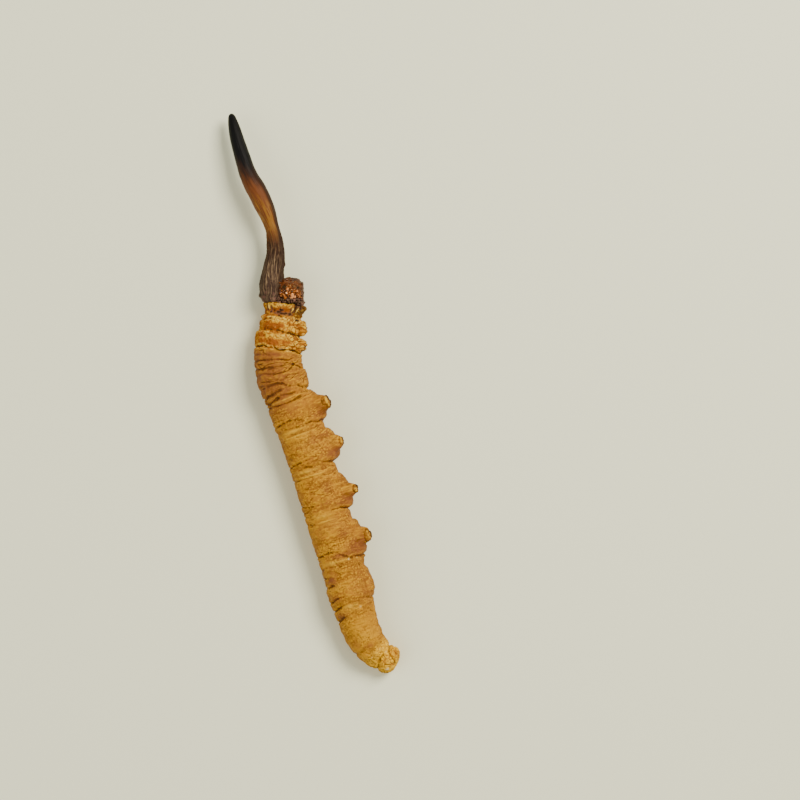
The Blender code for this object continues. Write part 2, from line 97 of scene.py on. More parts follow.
# Folds: depth, width, then the line that each takes round the body, as turn, distance from the neck and
# share of the depth. Between these points, and round the side that faces the floor, it is interpolated.
FOLDS = [
    (0.34, 0.32, [(20, 1.4, 0.6), (60, 1.25, 0.9), (85, 1.3, 1.1), (110, 1.35, 1.1), (140, 1.2, 0.7),
        (165, 1.3, 0.8)]),
    (0.2, 0.12, [(10, 1.9, 1.2), (43, 1.85, 0.9), (71, 1.62, 0.8), (98, 1.86, 0.8), (129, 1.8, 1),
        (160, 1.75, 1.1)]),
    (0.2, 0.1, [(-60, 2.3, 0), (92, 1.8, 0), (115, 2.1, 0.5), (134, 2.3, 1), (160, 2.5, 0.9)]),
    (0.4, 0.13, [(-20, 4.2, 0.7), (22, 4.15, 0.8), (54, 3.95, 0.9), (80, 3.85, 0.9), (91, 3.7, 0.75),
        (127, 3.66, 0.65), (140, 3.6, 0.35), (165, 3.9, 0.7)]),
    (0.34, 0.09, [(0, 6.45, 1.1), (29, 6.4, 1.1), (50, 6.1, 1.3), (73, 6, 1.3), (95, 6.07, 1.4),
        (104, 5.9, 1.3), (124, 5.87, 1.1), (137, 5.62, 1.2), (154, 5.83, 1)]),
    (0.2, 0.07, [(60, 6, 0), (66, 5.9, 0.8), (72, 5.65, 1), (82, 5.57, 1), (92, 5.65, 0.9), (97, 5.7, 0)]),
    (0.12, 0.07, [(-60, 6.8, 0.3), (90, 6.6, 0), (105, 6.66, 0.7), (117, 6.78, 1), (140, 6.74, 1),
        (165, 6.77, 0.9)]),
    (0.2, 0.08, [(48, 7, 0), (60, 7.16, 0.9), (68, 7.45, 1.1), (93, 7.33, 0.9), (117, 7.34, 0.8),
        (131, 7.4, 1.1), (165, 7.42, 1)]),
    (0.22, 0.085, [(70, 7.8, 0), (76, 7.9, 0.5), (86, 8.2, 0.9), (114, 8.23, 0.9), (132, 8.22, 1.2),
        (145, 8.29, 1), (165, 8.22, 1)]),
    (0.2, 0.08, [(-60, 9, 0), (45, 8, 0), (57, 8.27, 1), (64, 8.62, 1), (74, 8.97, 1.1), (99, 9.08, 0.7),
        (117, 9, 1), (144, 8.8, 0.5), (175, 9, 0.7)]),
    (0.24, 0.11, [(-70, 9.1, 0), (0, 9.1, 1.2), (26, 9, 1.2), (35, 8.6, 1), (54, 8.2, 0.8), (59, 7.7, 0.8),
        (62, 7.5, 0)]),
    (0.24, 0.1, [(-60, 11.2, 0.8), (-10, 12.1, 1.3), (15, 12.05, 1.6), (31, 11.7, 1), (46, 11.6, 0.9),
        (63, 11.15, 0.6), (75, 11.15, 0.4), (89, 10.75, 0.8), (96, 10.36, 1), (108, 10.22, 1),
        (144, 10.28, 0.6), (170, 10.4, 0.5)]),
    (0.22, 0.09, [(-60, 11.3, 0), (98, 10.95, 0), (109, 11.1, 0.9), (124, 11.23, 1), (150, 11.37, 1.1),
        (170, 11.5, 1)]),
    (0.24, 0.1, [(-60, 12, 0), (66, 12, 0), (73, 11.96, 0.7), (84, 11.95, 0.9), (99, 11.77, 0.8),
        (112, 11.72, 0.9), (130, 12.1, 1), (165, 12.2, 1)]),
    (0.24, 0.095, [(-20, 12.8, 0.3), (58, 12.6, 0), (68, 12.73, 1), (94, 12.83, 1), (124, 12.75, 0.9),
        (162, 12.68, 1)]),
    (0.18, 0.09, [(-10, 12.5, 0), (10, 12.4, 0.6), (28, 12.31, 0.9), (60, 12.27, 0.9), (66, 12.3, 0)]),
    (0.14, 0.08, [(-100, 14.6, 0), (100, 15, 0), (123, 14.67, 0.9), (132, 14.69, 1.2), (149, 14.57, 1.1),
        (170, 14.5, 0.7)]),
    (0.18, 0.09, [(-60, 15.1, 0), (75, 15.4, 0), (91, 15.33, 0.6), (115, 15.02, 0.9), (136, 15.1, 1),
        (165, 15.28, 1)]),
    (0.24, 0.11, [(-60, 16.1, 1), (8, 16.31, 1.7), (45, 16.32, 1.4), (67, 16.07, 1), (85, 16.1, 0.4),
        (99, 16.09, 0.8), (133, 15.89, 0.7), (140, 15.9, 0.2), (180, 16.1, 0.5)]),
    (0.12, 0.13, [(-40, 17.6, 0.2), (60, 18, 0), (75, 17.8, 0.4), (99, 17.5, 0.6), (131, 17.04, 0.6),
        (180, 16.9, 0.7)]),
    (0.2, 0.09, [(-60, 20.6, 0), (90, 20.4, 0), (103, 20.42, 0.8), (119, 20.5, 1.1), (138, 20.64, 1),
        (160, 20.82, 1)]),
    (0.22, 0.11, [(-60, 21.4, 1), (8, 21.55, 1.7), (48, 21.34, 1.4), (67, 21.19, 1), (75, 21.3, 0.4),
        (86, 21.45, 0.7), (113, 21.24, 0.9), (134, 21.36, 0.6), (170, 21.6, 0.4)]),
    (0.15, 0.12, [(-30, 23, 0.4), (60, 22.9, 0.3), (110, 22.5, 0.5), (135, 22.75, 0.2), (145, 22.7, 0.8),
        (170, 22.63, 1)]),
    (0.1, 0.07, [(98, 25.9, 0), (109, 25.92, 0.7), (135, 25.89, 0.7), (145, 25.85, 0)]),
    (0.18, 0.08, [(-60, 26.2, 0), (95, 26.3, 0), (114, 26.18, 0.9), (138, 26.24, 1), (160, 25.97, 1),
        (180, 25.9, 1)]),
    (0.15, 0.08, [(-60, 26.7, 0), (135, 26.7, 0), (145, 26.7, 0.3), (160, 26.75, 0.8), (180, 26.7, 0.9)]),
    (0.24, 0.11, [(-60, 27.4, 1), (0, 27.6, 1.8), (26, 27.58, 2), (46, 27.43, 1.3), (60, 27.29, 1.1),
        (75, 27.23, 0.9), (90, 27.2, 0.3), (140, 27.3, 0.3), (170, 27.3, 0.7)]),
    (0.12, 0.13, [(-20, 28.6, 0.4), (40, 28.6, 0.4), (80, 28.4, 0.5), (110, 28.4, 0.5), (140, 28.3, 0.4),
        (170, 28.3, 0.9)]),
    (0.2, 0.1, [(-60, 32.5, 0.4), (60, 32.7, 0), (82, 32.66, 0.3), (110, 32.39, 0.5), (124, 32.32, 0.8),
        (140, 32.39, 1), (156, 32.51, 1.3), (175, 32.5, 1.1)]),
    (0.24, 0.11, [(-140, 33.4, 0.4), (-60, 33.5, 1.2), (8, 33.55, 2.1), (32, 33.7, 1.6), (46, 33.59, 1.2),
        (60, 33.5, 0.8), (74, 33.6, 0.7), (80, 33.2, 0.9), (97, 32.84, 0.6), (110, 32.8, 0)]),
    (0.14, 0.12, [(0, 34.7, 0.5), (35, 34.7, 0.8), (70, 34.6, 0.4), (100, 34.4, 0.5), (140, 34, 0.5),
        (170, 34.3, 0.9)]),
    (0.2, 0.09, [(-60, 35.3, 0), (135, 35.4, 0), (148, 35.4, 0.4), (160, 35.4, 1), (180, 35.4, 1)]),
    (0.2, 0.1, [(-60, 36.6, 0), (125, 36.3, 0), (136, 36.4, 0.8), (143, 36.4, 1.1), (158, 36.6, 1.1),
        (175, 36.6, 1.1)]),
    (0.24, 0.1, [(-60, 38.5, 0.4), (100, 38, 0), (124, 38.02, 0.5), (138, 38.19, 0.8), (157, 38.43, 1.3),
        (178, 38.5, 1.2)]),
    (0.16, 0.09, [(-80, 38.9, 0), (-10, 39, 0.8), (41, 39, 0.9), (56, 38.74, 1), (75, 38.62, 0.8),
        (88, 38.6, 0)]),
    (0.24, 0.11, [(-50, 39.8, 0.2), (95, 39, 0), (107, 38.99, 0.4), (122, 39.07, 0.6), (137, 39.31, 0.9),
        (153, 39.54, 1.3), (178, 39.6, 1.2)]),
    (0.1, 0.12, [(-30, 42, 0), (8, 42, 1), (33, 41, 0.8), (57, 40.2, 0.6), (78, 39.9, 0.6),
        (106, 39.5, 0.5), (125, 39.6, 0.4), (135, 39.9, 0)]),
    (0.24, 0.11, [(-50, 41, 0.2), (122, 40.5, 0), (135, 40.61, 0.5), (145, 40.75, 0.9), (156, 40.87, 1.2),
        (180, 41, 1.2)]),
    (0.12, 0.08, [(-90, 42, 0), (130, 42, 0), (146, 41.84, 0.8), (170, 41.85, 0.7)]),
    (0.14, 0.1, [(-60, 45, 0.2), (50, 45, 0), (87, 45.25, 0.3), (117, 45.21, 0.5), (133, 44.94, 0.6),
        (150, 44.8, 0.8), (165, 44.7, 1.2)]),
    (0.12, 0.06, [(112, 46.7, 0), (120, 46.6, 0.6), (127, 46.23, 0.9), (140, 45.97, 0.9),
        (160, 45.9, 0.2)]),
    (0.12, 0.06, [(104, 46.3, 0), (114, 46.18, 0.8), (131, 45.91, 0.8), (140, 45.8, 0)]),
    (0.34, 0.13, [(-30, 47.2, 0.3), (70, 46.95, 0), (82, 46.95, 0.5), (93, 46.99, 1), (111, 46.95, 1.1),
        (127, 47.06, 1.1), (145, 47.25, 1), (170, 47.3, 1)]),
    (0.4, 0.17, [(-30, 46.9, 0.2), (20, 47, 0.8), (50, 47.3, 0.9), (65, 47.46, 1), (79, 47.95, 1),
        (88, 48.53, 0.9), (105, 49.2, 0)]),
]
FOLD_WANDER = 0.05  # how far a fold strays to and fro along the body
FOLD_LIP = 0.13  # height of the puffed edges beside a fold, as a share of its depth
FOLD_REACH = 6  # widths past which a fold leaves no trace

# arched plates between the chest's folds and at the tail's end: start, end, height, lean towards the tail
PLATES = [
    (0, 1.1, 0.1, 0), (1.95, 3.8, 0.16, 0.25), (3.95, 5.95, 0.15, 0.28), (6.1, 7.35, 0.04, -0.1),
    (9.05, 10.3, 0.05, -0.2), (47.1, 49.5, 0.1, 0),
]

# the belly's swellings: start, top, end, height
SWELLINGS = [
    (-0.4, 0.8, 2.1, 0.3), (8.9, 10.4, 12, 0.34), (12.2, 15, 16.5, 0.95), (17.4, 20, 21.5, 0.98),
    (23, 25.8, 27.7, 0.95), (29.1, 31.6, 34, 0.92), (35, 37.5, 38.9, 0.4),
]
SWELLING_SPREAD = 52.0

# pairs of legs: distance from the neck, how far each stands out, radius of its sole and of its root
BELLY_LEGS = [
    (14.5, 1.22, 0.76, 1.5), (19.4, 1.06, 0.52, 1.25), (25.5, 1.15, 0.52, 1.25), (31.45, 1.05, 0.72, 1.45),
]
BELLY_LEG_SPREAD = 26.0
CHEST_LEGS = [(0.9, 0.12, 0.2, 0.9), (3.1, 0.55, 0.25, 1), (5.15, 0.58, 0.25, 0.95)]
CHEST_LEG_SPREAD = 17.0
TAIL_LEGS = [(48.2, 0.5, 0.42, 0.85)]
TAIL_LEG_SPREAD = 42.0
# the share of a leg's reach that belongs to the body's skin, for the belly's legs, whose knobs are a piece
# of their own, and for the tail's
LEG_STUB = 0.7
TAIL_STUB = 0.6
# a knob's outline from its root to its sole's middle: radius as a share of the sole's, height as a share of
# the knob's
KNOB_PROFILE = [(1.1, -0.8), (1.12, -0.2), (1.1, 0.2), (1.05, 0.5), (1.02, 0.7), (1, 0.85), (0.93, 0.94),
                (0.82, 0.99), (0.68, 1), (0.52, 0.97), (0.3, 0.94), (0.04, 0.93)]
KNOB_START = 0.15  # how far above the skin's girth a knob's own height starts
KNOB_RINGS = 60
KNOB_SIDES = 56

# lumps at the tail's end: distance from the neck, turn, half length, half width, height
TAIL_LUMPS = [
    (47.9, 112, 0.6, 0.85, 0.24), (46.2, 118, 0.3, 0.8, 0.14), (45.6, 138, 0.25, 0.7, 0.12),
    (48.2, -90, 0.8, 1.1, 0.25),
]
# upright struts across the hollow of the first chest ring: distance from the neck, turn, height
STRUTS = [
    (0.84, 143, 0.16), (0.95, 66, 0.18), (0.95, 50, 0.14), (1, -42, 0.18), (1.2, -95, 0.16),
    (0.9, -150, 0.16),
]
# pale bands across the rings, painted light as a sheen along the rings' crests: distance from the neck,
# middle turn, spread, half width
PALE_BANDS = [
    (16.42, 116, 26, 0.22), (21.75, 114, 24, 0.2), (27.66, 108, 17, 0.17), (33.62, 112, 28, 0.2),
    (39.35, 108, 18, 0.22), (12.35, 92, 30, 0.1), (17.1, 112, 32, 0.1), (22.4, 108, 30, 0.11),
    (28.35, 104, 22, 0.08),
]
BAND_HEIGHT = 0.06  # how far they stand out
# stained or crusted patches of the skin, though the red ones on the belly at the swellings' tail-side ends
# are
# painted shade: distance from the neck, turn, half length, spread, strength
RED_PATCHES = [
    (15.8, 16, 0.8, 42, 1.3), (20.7, 16, 0.9, 44, 1.3), (26.7, 16, 1, 42, 1.3), (32.5, 26, 1.2, 46, 1.5),
    (33, 90, 0.35, 30, 1.2), (35.9, 140, 0.7, 16, 1.2), (38.1, 140, 0.4, 18, 1.2),
    (40.3, 142, 0.5, 20, 1.2), (44, 132, 1, 26, 0.35), (38.3, 58, 1.5, 34, 0.45), (18.3, 75, 0.6, 18, 0.6),
    (24.6, 78, 0.9, 16, 0.6), (30.4, 70, 1, 22, 0.6), (48.3, 56, 0.8, 22, 1), (47.7, 112, 0.5, 9, 0.9),
    (44.9, 97, 0.45, 15, 0.6), (44.6, 112, 0.25, 7, 0.6), (28.9, 88, 0.9, 50, 0.34),
    (19, 88, 0.8, 50, 0.22),
]
DARK_PATCHES = [
    (1.52, 98, 0.22, 32, 0.75), (0.1, 50, 0.6, 12, 0.6), (0.95, 152, 0.5, 5, 0.65),
    (0.95, 134, 0.45, 4.5, 0.65), (1.05, 70.5, 0.4, 3, 0.6), (6, 22, 0.2, 8, 0.7),
    (5.35, 22, 0.25, 5, 0.9), (1.36, 111, 0.16, 7, 1.1), (1.1, 100, 0.14, 8, 1.1),
    (1.45, 85, 0.16, 9, 0.9), (1.4, 136, 0.2, 5, 1), (1.49, 70, 0.22, 8, 1), (0.64, 58.5, 0.55, 3, 1.2),
    (0, 50, 0.45, 10, 1.2), (0.58, 40, 0.3, 5, 1), (2.27, 130, 0.1, 5, 1), (2.21, 47, 0.18, 8, 0.9),
    (4.68, 6, 0.35, 9, 0.7), (8, 58, 0.25, 4, 0.5), (44.64, 158, 0.2, 8, 0.4),
]
CREAM_PATCHES = [
    (0.84, 142, 0.28, 4.5, 1.1), (1.03, 64, 0.38, 3.5, 1.1), (0.84, 48, 0.18, 6, 1),
    (1.36, 51, 0.35, 4, 0.9), (2.05, 120, 0.1, 12, 0.8), (2.25, 88, 0.4, 4, 0.5), (3.24, 86, 0.26, 4, 0.8),
    (2.46, 66, 0.11, 5, 0.9), (2.96, 51, 0.14, 5, 0.7), (3.95, 134, 0.12, 6, 0.8),
    (5.6, 151, 0.16, 13, 0.9), (5.66, 130, 0.13, 7, 1.1), (5.81, 110, 0.09, 10, 1.2),
    (5.95, 89, 0.1, 12, 1.3), (6.17, 66, 0.14, 8, 1.1), (46.23, 80, 0.45, 20, 0.55),
    (47.04, 72, 0.25, 8, 0.9), (45.53, 123, 0.2, 5, 0.6), (46.08, 122, 0.14, 9, 0.6),
    (48.3, 136, 0.26, 12, 1.5), (47.69, 145, 0.15, 5, 1), (33.66, 76, 0.2, 5.5, 1.2),
    (33.78, 52, 0.2, 6, 0.9), (39.75, 78, 0.2, 5.5, 1.2),
]
GOLD_PATCHES = [
    (0.5, 112, 0.24, 18, 1.2), (0.4, 80, 0.22, 16, 1), (0.76, 156, 0.3, 9, 0.7), (0.6, -120, 0.32, 50, 1),
    (2.5, 105, 0.28, 26, 1.1), (3.17, 42, 0.7, 24, 0.4), (4.07, 131, 0.2, 9, 1.1),
    (4.46, 108, 0.32, 32, 1), (5.3, 45, 0.7, 26, 0.35), (2.2, -110, 0.4, 60, 0.8),
    (4.6, -110, 0.4, 60, 0.8),
]
RUST_PATCHES = [
    (1.15, 100, 0.3, 36, 1.3), (2.07, 147, 0.34, 9, 1), (3.27, 139, 0.36, 10, 1.3),
    (3.19, 111, 0.32, 14, 1.3), (4.35, 150, 0.28, 13, 1.2), (5.2, 111, 0.34, 11, 1.2),
    (5.18, 146, 0.16, 8, 0.9), (5, 85, 0.3, 7, 0.5), (0.65, 8, 0.8, 14, 1.1), (48.53, 107, 0.3, 10, 1),
    (46.34, 142, 0.25, 8, 0.5), (47.81, 88, 0.1, 8, 0.9), (48.8, 37, 0.3, 8, 0.8),
]
CRUST_PATCHES = {"dark": DARK_PATCHES, "cream": CREAM_PATCHES, "gold": GOLD_PATCHES, "rust": RUST_PATCHES}
# and patches of larger, loose grains, in the same columns
GRAINY_PATCHES = [
    (11.2, 70, 0.7, 30, 1), (15.5, 72, 0.7, 32, 1), (20, 72, 0.9, 36, 1), (25.4, 90, 0.8, 36, 1),
    (31.5, 100, 0.8, 34, 1), (42.6, 95, 1.2, 40, 1),
]

# where the chest's crust ends and the tail's begins, as distances from the neck
CRUST_END = 6.2
CRUST_TAIL = 45.9
# the redder skin behind the chest begins and ends between these distances from the neck
REDDENED_FROM = (5.9, 6.8)
REDDENED_TO = (10.0, 16.5)
GRAIN_SIZE = 0.27
CLOD_SIZE = 0.62  # of the crust
CREASE_SPACING = 0.62
CRUST_CREASE_DEPTH = 0.09

BODY_RINGS = 960
BODY_SIDES = 300
BODY_CROWDING = 0.12  # how much closer its points lie near the belly
BODY_CUTS = (0.0, 16.4, 32.8, 60.0)  # the skin is three meshes, cut at these distances from the neck
BODY_NAMES = ("chest_skin", "middle_skin", "rear_skin")

# ---- Stalk
STALK_LINE = [
    (-10.4, 34.9, 2.3), (-9.6, 31.6, 2.8), (-8.8, 29, 3.2), (-8, 26.8, 3.45), (-7, 25, 3.55),
    (-5.9, 22.6, 3.6), (-5.15, 20.3, 3.5), (-4.8, 17.8, 3.35), (-5.06, 15.3, 3.1), (-5.25, 13.4, 2.95),
    (-5.15, 11.15, 2.8),
]
STALK_GIRTH = [
    (0, 0.34), (1.2, 0.62), (3.7, 0.88), (6.2, 1), (8.7, 1.13), (11.2, 1.24), (13.7, 1.04), (15, 0.87),
    (16.5, 0.9), (18.3, 1.04), (20.2, 1.2), (22, 1.42), (23.2, 1.5), (24.6, 1.3),
]
STALK_SMOOTH_END = 15.0  # distance from the tip past which it is ridged
KNOTTY_FROM = (19.5, 23.0)  # and between which its ridges become knotty
FOOT_HEIGHT_SHARE = 1.35  # its height at the foot as a share of its width
# the ridges' noise: the width of the round that it is read on, and how far it is drawn out lengthwise
STRANDS_WIDTH = 4.4
STRANDS_DRAWING = 4.0
STALK_TIP_ROUNDING = 0.45
STALK_FOOT_ROUNDING = 0.5
STALK_RINGS = 500
STALK_SIDES = 180
# nubs on the foot: distance from the tip, turn, radius, height
NUBS = [(23.9, 180, 0.26, 0.2), (19.9, 2, 0.26, 0.14), (22.2, 118, 0.45, 0.1)]

# ---- Head
HEAD_CENTRE = (-2.95, 12.75, 2.75)
HEAD_RADII = (1.62, 1.5, 2.3)
HEAD_SQUARENESS = 2.7  # 2 would be an ellipsoid
HEAD_RINGS = 180
HEAD_SIDES = 260

# its larger glassy lumps, which carry painted glints (highlights) by their brightness, and, with a
# brightness below 0, pits painted dark: X, Y of each, radius, height, brightness
GLINTS = [
    (-3.25, 12.88, 0.17, 0.1, 0.8), (-3.31, 12.36, 0.15, 0.12, 1.3), (-2.62, 12.14, 0.27, 0.16, 0.85),
    (-2.75, 11.8, 0.16, 0.12, 0.85), (-3.5, 11.82, 0.18, 0.1, 0.65), (-2.12, 12.62, 0.19, 0.12, 0.75),
    (-1.62, 11.92, 0.17, 0.1, 0.55), (-3.1, 11.5, 0.13, 0.1, 0.6), (-2.3, 11.98, 0.12, 0.1, 0.9),
    (-3.85, 12.3, 0.14, 0.08, 0.45), (-2.75, 12.58, 0.12, -0.06, -1), (-1.86, 13.05, 0.2, -0.08, -1),
    (-2.98, 12.02, 0.09, -0.05, -1), (-1.95, 11.45, 0.32, -0.05, -1), (-3.45, 12.62, 0.1, -0.05, -0.8),
    (-3.62, 13.1, 0.28, -0.04, -0.8),
]

# ---- Crumbs of crust where the foot, the head and the neck meet: middle, half widths, radius, how many
CRUMB_RINGS = [
    ((-4.9, 11.65, 2.75), (1.3, 0.18, 1.9), 0.17, 110), ((-3, 11.55, 2.75), (1.6, 0.14, 2.2), 0.16, 150),
    ((-3.3, 11.28, 2.55), (2.1, 0.12, 2.15), 0.15, 150), ((-2.9, 14.05, 2.75), (1.2, 0.1, 1.5), 0.1, 50),
    ((-1.42, 12.6, 2.75), (0.08, 1.2, 1.9), 0.1, 70), ((-1.75, 11.15, 2.75), (0.45, 0.3, 2), 0.15, 90),
    ((-4.2, 12.9, 3), (0.16, 1.1, 1.9), 0.1, 70),
]
CRUMB_BANDS = 6
CRUMB_SIDES = 9

WARM_SHINE = (1.0, 0.76, 0.25, 1.0)
STALK_SHINE = (1.0, 0.92, 0.8, 1.0)

# ======== lines and tables


def natural_spline(knots, values, at):
    """A natural cubic spline through the values at the knots, read at the places asked for."""
    steps = np.diff(knots)
    slopes = np.diff(values, axis=0) / steps[:, None]
    count = len(knots)
    system = np.eye(count)
    bends = np.zeros_like(values)
    for i in range(1, count - 1):
        system[i, i - 1:i + 2] = steps[i - 1], 2 * (steps[i - 1] + steps[i]), steps[i]
        bends[i] = 6 * (slopes[i] - slopes[i - 1])
    bends = np.linalg.solve(system, bends)
    left = np.clip(np.searchsorted(knots, at) - 1, 0, count - 2)
    width = steps[left][:, None]
    before = (knots[left + 1] - at)[:, None] / width
    after = 1 - before
    curve = ((before ** 3 - before) * bends[left] + (after ** 3 - after) * bends[left + 1]) * width ** 2 / 6
    return before * values[left] + after * values[left + 1] + curve


def lengths_along(places):
    """The distance of each place from the first, along the steps between them."""
    return np.concatenate([[0.0], np.cumsum(np.linalg.norm(np.diff(places, axis=0), axis=1))])


def smooth_line(points):
    """A smooth curve through the points and the distance along it: (distances, places)."""
    points = np.array(points, float)
    knots = lengths_along(points)
    places = natural_spline(knots, points, np.linspace(0, knots[-1], LINE_STEPS))
    return lengths_along(places), places


def body_line():
    """The middle line of the body, as if it lay in the floor."""
    return smooth_line([(x, y, 0.0) for x, y in BODY_LINE])


def unit(vectors):
    """The vectors with length 1."""
    return vectors / np.maximum(np.linalg.norm(vectors, axis=-1, keepdims=True), TINY)


def read_line(line, at):
    """The places and directions of a smooth line at the distances asked for."""
    distances, places = line
    directions = np.gradient(places, distances, axis=0)
    place, direction = (np.stack([np.interp(at, distances, column) for column in values.T], axis=1)
                        for values in (places, directions))
    return place, unit(direction)


def smooth_table(table, at):
    """The second column of a table read smoothly at places along its first."""
    table = np.array(table, float)
    return natural_spline(table[:, 0], table[:, 1:2], at)[:, 0]


def held(values):
    """The values held between 0 and 1."""
    return np.clip(values, 0, 1)


def round_off(at, length, front, back):
    """The quarter-circle rise of a rounded bar's girth at both ends: 0 at the ends, 1 between them."""
    from_front = held(at / front)
    from_back = held((length - at) / back)
    return np.sqrt(1 - (1 - from_front) ** 2) * np.sqrt(1 - (1 - from_back) ** 2)


def spaced(length, front, back, rings):
    """Distances along a rounded bar: even along it, closer where its ends close."""
    share = np.linspace(0.0, 1.0, END_RINGS + 2)[1:-1] * math.pi / 2
    between = np.linspace(front, length - back, rings - 2 * END_RINGS)
    return np.concatenate([front * (1 - np.cos(share)), between, length - back * (1 - np.sin(share))])


def ramp(values, low, high):
    """A smooth step: 0 below low, 1 above high, 3x^2 - 2x^3 between them."""
    x = held((values - low) / (high - low))
    return x * x * (3 - 2 * x)


def hump(values, middle, width):
    """A bell curve: exp(-((x - middle) / width)^2)."""
    return np.exp(-((values - middle) / width) ** 2)


def turned_by(turns, degrees):
    """How far round each angle is from the one given, from -pi to pi."""
    return (turns - math.radians(degrees) + math.pi) % (2 * math.pi) - math.pi


def even_turns(count):
    """Angles evenly spaced round a ring, from 0."""
    return np.arange(count) * 2 * math.pi / count


def crowded_turns(count, crowding):
    """Angles round a ring, closer together near the belly: t - crowding * sin t."""
    even = even_turns(count)
    turns = even - crowding * np.sin(even)
    return np.where(turns > math.pi, turns - 2 * math.pi, turns)


def points_from(*coordinates):
    """Points from their coordinates, each of which is repeated along the rings or round them as needed."""
    return np.stack(np.broadcast_arrays(*coordinates), axis=-1)


# ======== noise


def cell_number(cells, seed):
    """A steady number from -1 to 1 for every whole-numbered cell, mixed from its three indices and the two
    seeds."""
    x, y, z = cells[..., 0], cells[..., 1], cells[..., 2]
    mixed = x * 374761393 + y * 668265263 + z * 1440662683 + (SEED + seed) * 362437
    mixed = (mixed ^ (mixed >> 13)) * 1274126177
    mixed = (mixed ^ (mixed >> 15)) * 1911520717
    return ((mixed >> 7) & 0xFFFFF) / 0x7FFFF - 1.0


def grain(points, size, seed, octaves=1):
    """Value noise: corner numbers of a grid of that cell size blended by quintic weights, then halved
    in size and height for each further octave."""
    total = np.zeros(points.shape[:-1])
    share = 1.0
    for octave in range(octaves):
        place = points / size + 31.7 * octave
        cell = np.floor(place).astype(np.int64)
        part = place - cell
        blend = part ** 3 * (part * (part * 6 - 15) + 10)
        for corner in range(8):
            step = np.array([corner & 1, corner >> 1 & 1, corner >> 2])
            weight = np.prod(np.where(step, blend, 1 - blend), axis=-1)
            total += share * weight * cell_number(cell + step, seed + octave)
        size /= 2
        share /= 2
    return total


def pebbles(points, size, seed):
    """Cell noise, with one point thrown into each cube of that size: the distance to the nearest point and
    to the second nearest, the nearest one's own number, and a tilt that is a plane through that point."""
    place = points / size
    cell = np.floor(place).astype(np.int64)
    nearest = np.full(points.shape[:-1], 9.0)
    second = nearest.copy()
    own = np.zeros(points.shape[:-1])
    tilt = np.zeros(points.shape[:-1])
    for code in range(27):
        there = cell + np.array([code % 3 - 1, code // 3 % 3 - 1, code // 9 - 1])
        thrown = np.stack([cell_number(there, seed + k) for k in range(3)], axis=-1)
        offset = place - there - 0.5 - 0.45 * thrown
        away = np.linalg.norm(offset, axis=-1)
        closer = away < nearest
        second = np.where(closer, nearest, np.minimum(second, away))
        own = np.where(closer, thrown[..., 0], own)
        tilt = np.where(closer, np.sum(offset * thrown[..., ::-1], axis=-1), tilt)
        nearest = np.where(closer, away, nearest)
    return nearest, second, own, tilt


def strayed(points, reach, size, seed):
    """The points, each moved to and fro by a noise of that size and height."""
    return points + reach * np.stack([grain(points, size, seed + k, 2) for k in range(3)], axis=-1)


def mask_from(noise, contrast=0.5):
    """A mask from a noise: a half where the noise is 0, and held between 0 and 1."""
    return held(0.5 + contrast * noise)


# ======== surfaces


def rings_round(places, directions, angles, radii, height_share=1.0):
    """Points on rings square to a line: angle 0 is its +X side, 90 degrees is up."""
    side = unit(points_from(-directions[:, 1], directions[:, 0], 0.0))
    up = np.cross(directions, side)
    across = (radii * np.cos(angles))[:, :, None] * side[:, None, :]
    upward = (radii * np.sin(angles) * np.reshape(height_share, (-1, 1)))[:, :, None] * up[:, None, :]
    return places[:, None, :] + across + upward


def unit_ball(bands, sides):
    """Rings of points on a ball of radius 1, without its poles."""
    latitude = np.linspace(-math.pi / 2, math.pi / 2, bands + 2)[1:-1, None]
    longitude = even_turns(sides)
    flat = np.cos(latitude)
    return points_from(flat * np.cos(longitude), flat * np.sin(longitude), np.sin(latitude))


def outward(rings):
    """The unit normal at every point of closed rings: the cross product of the steps round and along."""
    round_step = np.roll(rings, -1, axis=-2) - np.roll(rings, 1, axis=-2)
    return unit(np.cross(round_step, np.gradient(rings, axis=-3)))


def pushed_out(rings, heights):
    """The points moved along their normals by those heights."""
    return rings + outward(rings) * heights[..., None]


def soften(field, passes):
    """The field averaged over a small patch: three-point averages, repeated, closed round the rings."""
    for _ in range(passes):
        field = (np.roll(field, 1, axis=1) + 2 * field + np.roll(field, -1, axis=1)) / 4
        longer = np.pad(field, ((1, 1), (0, 0)), mode="edge")
        field = (longer[:-2] + 2 * field + longer[2:]) / 4
    return field


def hollows_of(relief, passes, deep, high, least=0.0):
    """Masks of a relief's hollows and ridges, by how far it lies below or above its softened self: full at
    the depth and the height given, and none for hollows shallower than the least."""
    cavity = soften(relief, passes) - relief
    return {"hollow": held((cavity - least) / deep), "ridge": held(-cavity / high)}


def folds_in(at, turns):
    """Relief of the folds and a mask of their lips. Each fold is a sharp valley in a broad one,
    depth * (0.66 exp(-|x|^1.3) + 0.34 exp(-(x/3.2)^2)), with a puffed edge on each side; x is the distance
    from its line, which wanders a little, in widths."""
    relief = np.zeros((len(at), len(turns)))
    lips = np.zeros_like(relief)
    degrees = np.degrees(turns)
    circle = points_from(np.cos(turns), np.sin(turns), 0.0)
    for number, (depth, width, line) in enumerate(FOLDS):
        knots, *columns = np.array(line, float).T
        place, share = (np.interp(degrees, knots, column, period=360) for column in columns)
        lifted = circle * 1.6 + [0, 0, 3.7 * number]
        place += FOLD_WANDER * grain(lifted, 0.4, number, 3)
        share *= np.clip(1 + 0.35 * grain(lifted, 0.35, 50 + number, 2), 0.4, 1.5)
        near = (at > place.min() - FOLD_REACH * width) & (at < place.max() + FOLD_REACH * width)
        off = (at[near, None] - place) / width
        relief[near] -= depth * share * (0.66 * np.exp(-np.abs(off) ** 1.3) + 0.34 * hump(off, 0, 3.2))
        edges = hump(np.abs(off), 2.4, 1.0) * share
        relief[near] += depth * FOLD_LIP * edges
        lips[near] = np.maximum(lips[near], edges * min(depth / 0.3, 1.2))
    return relief, lips


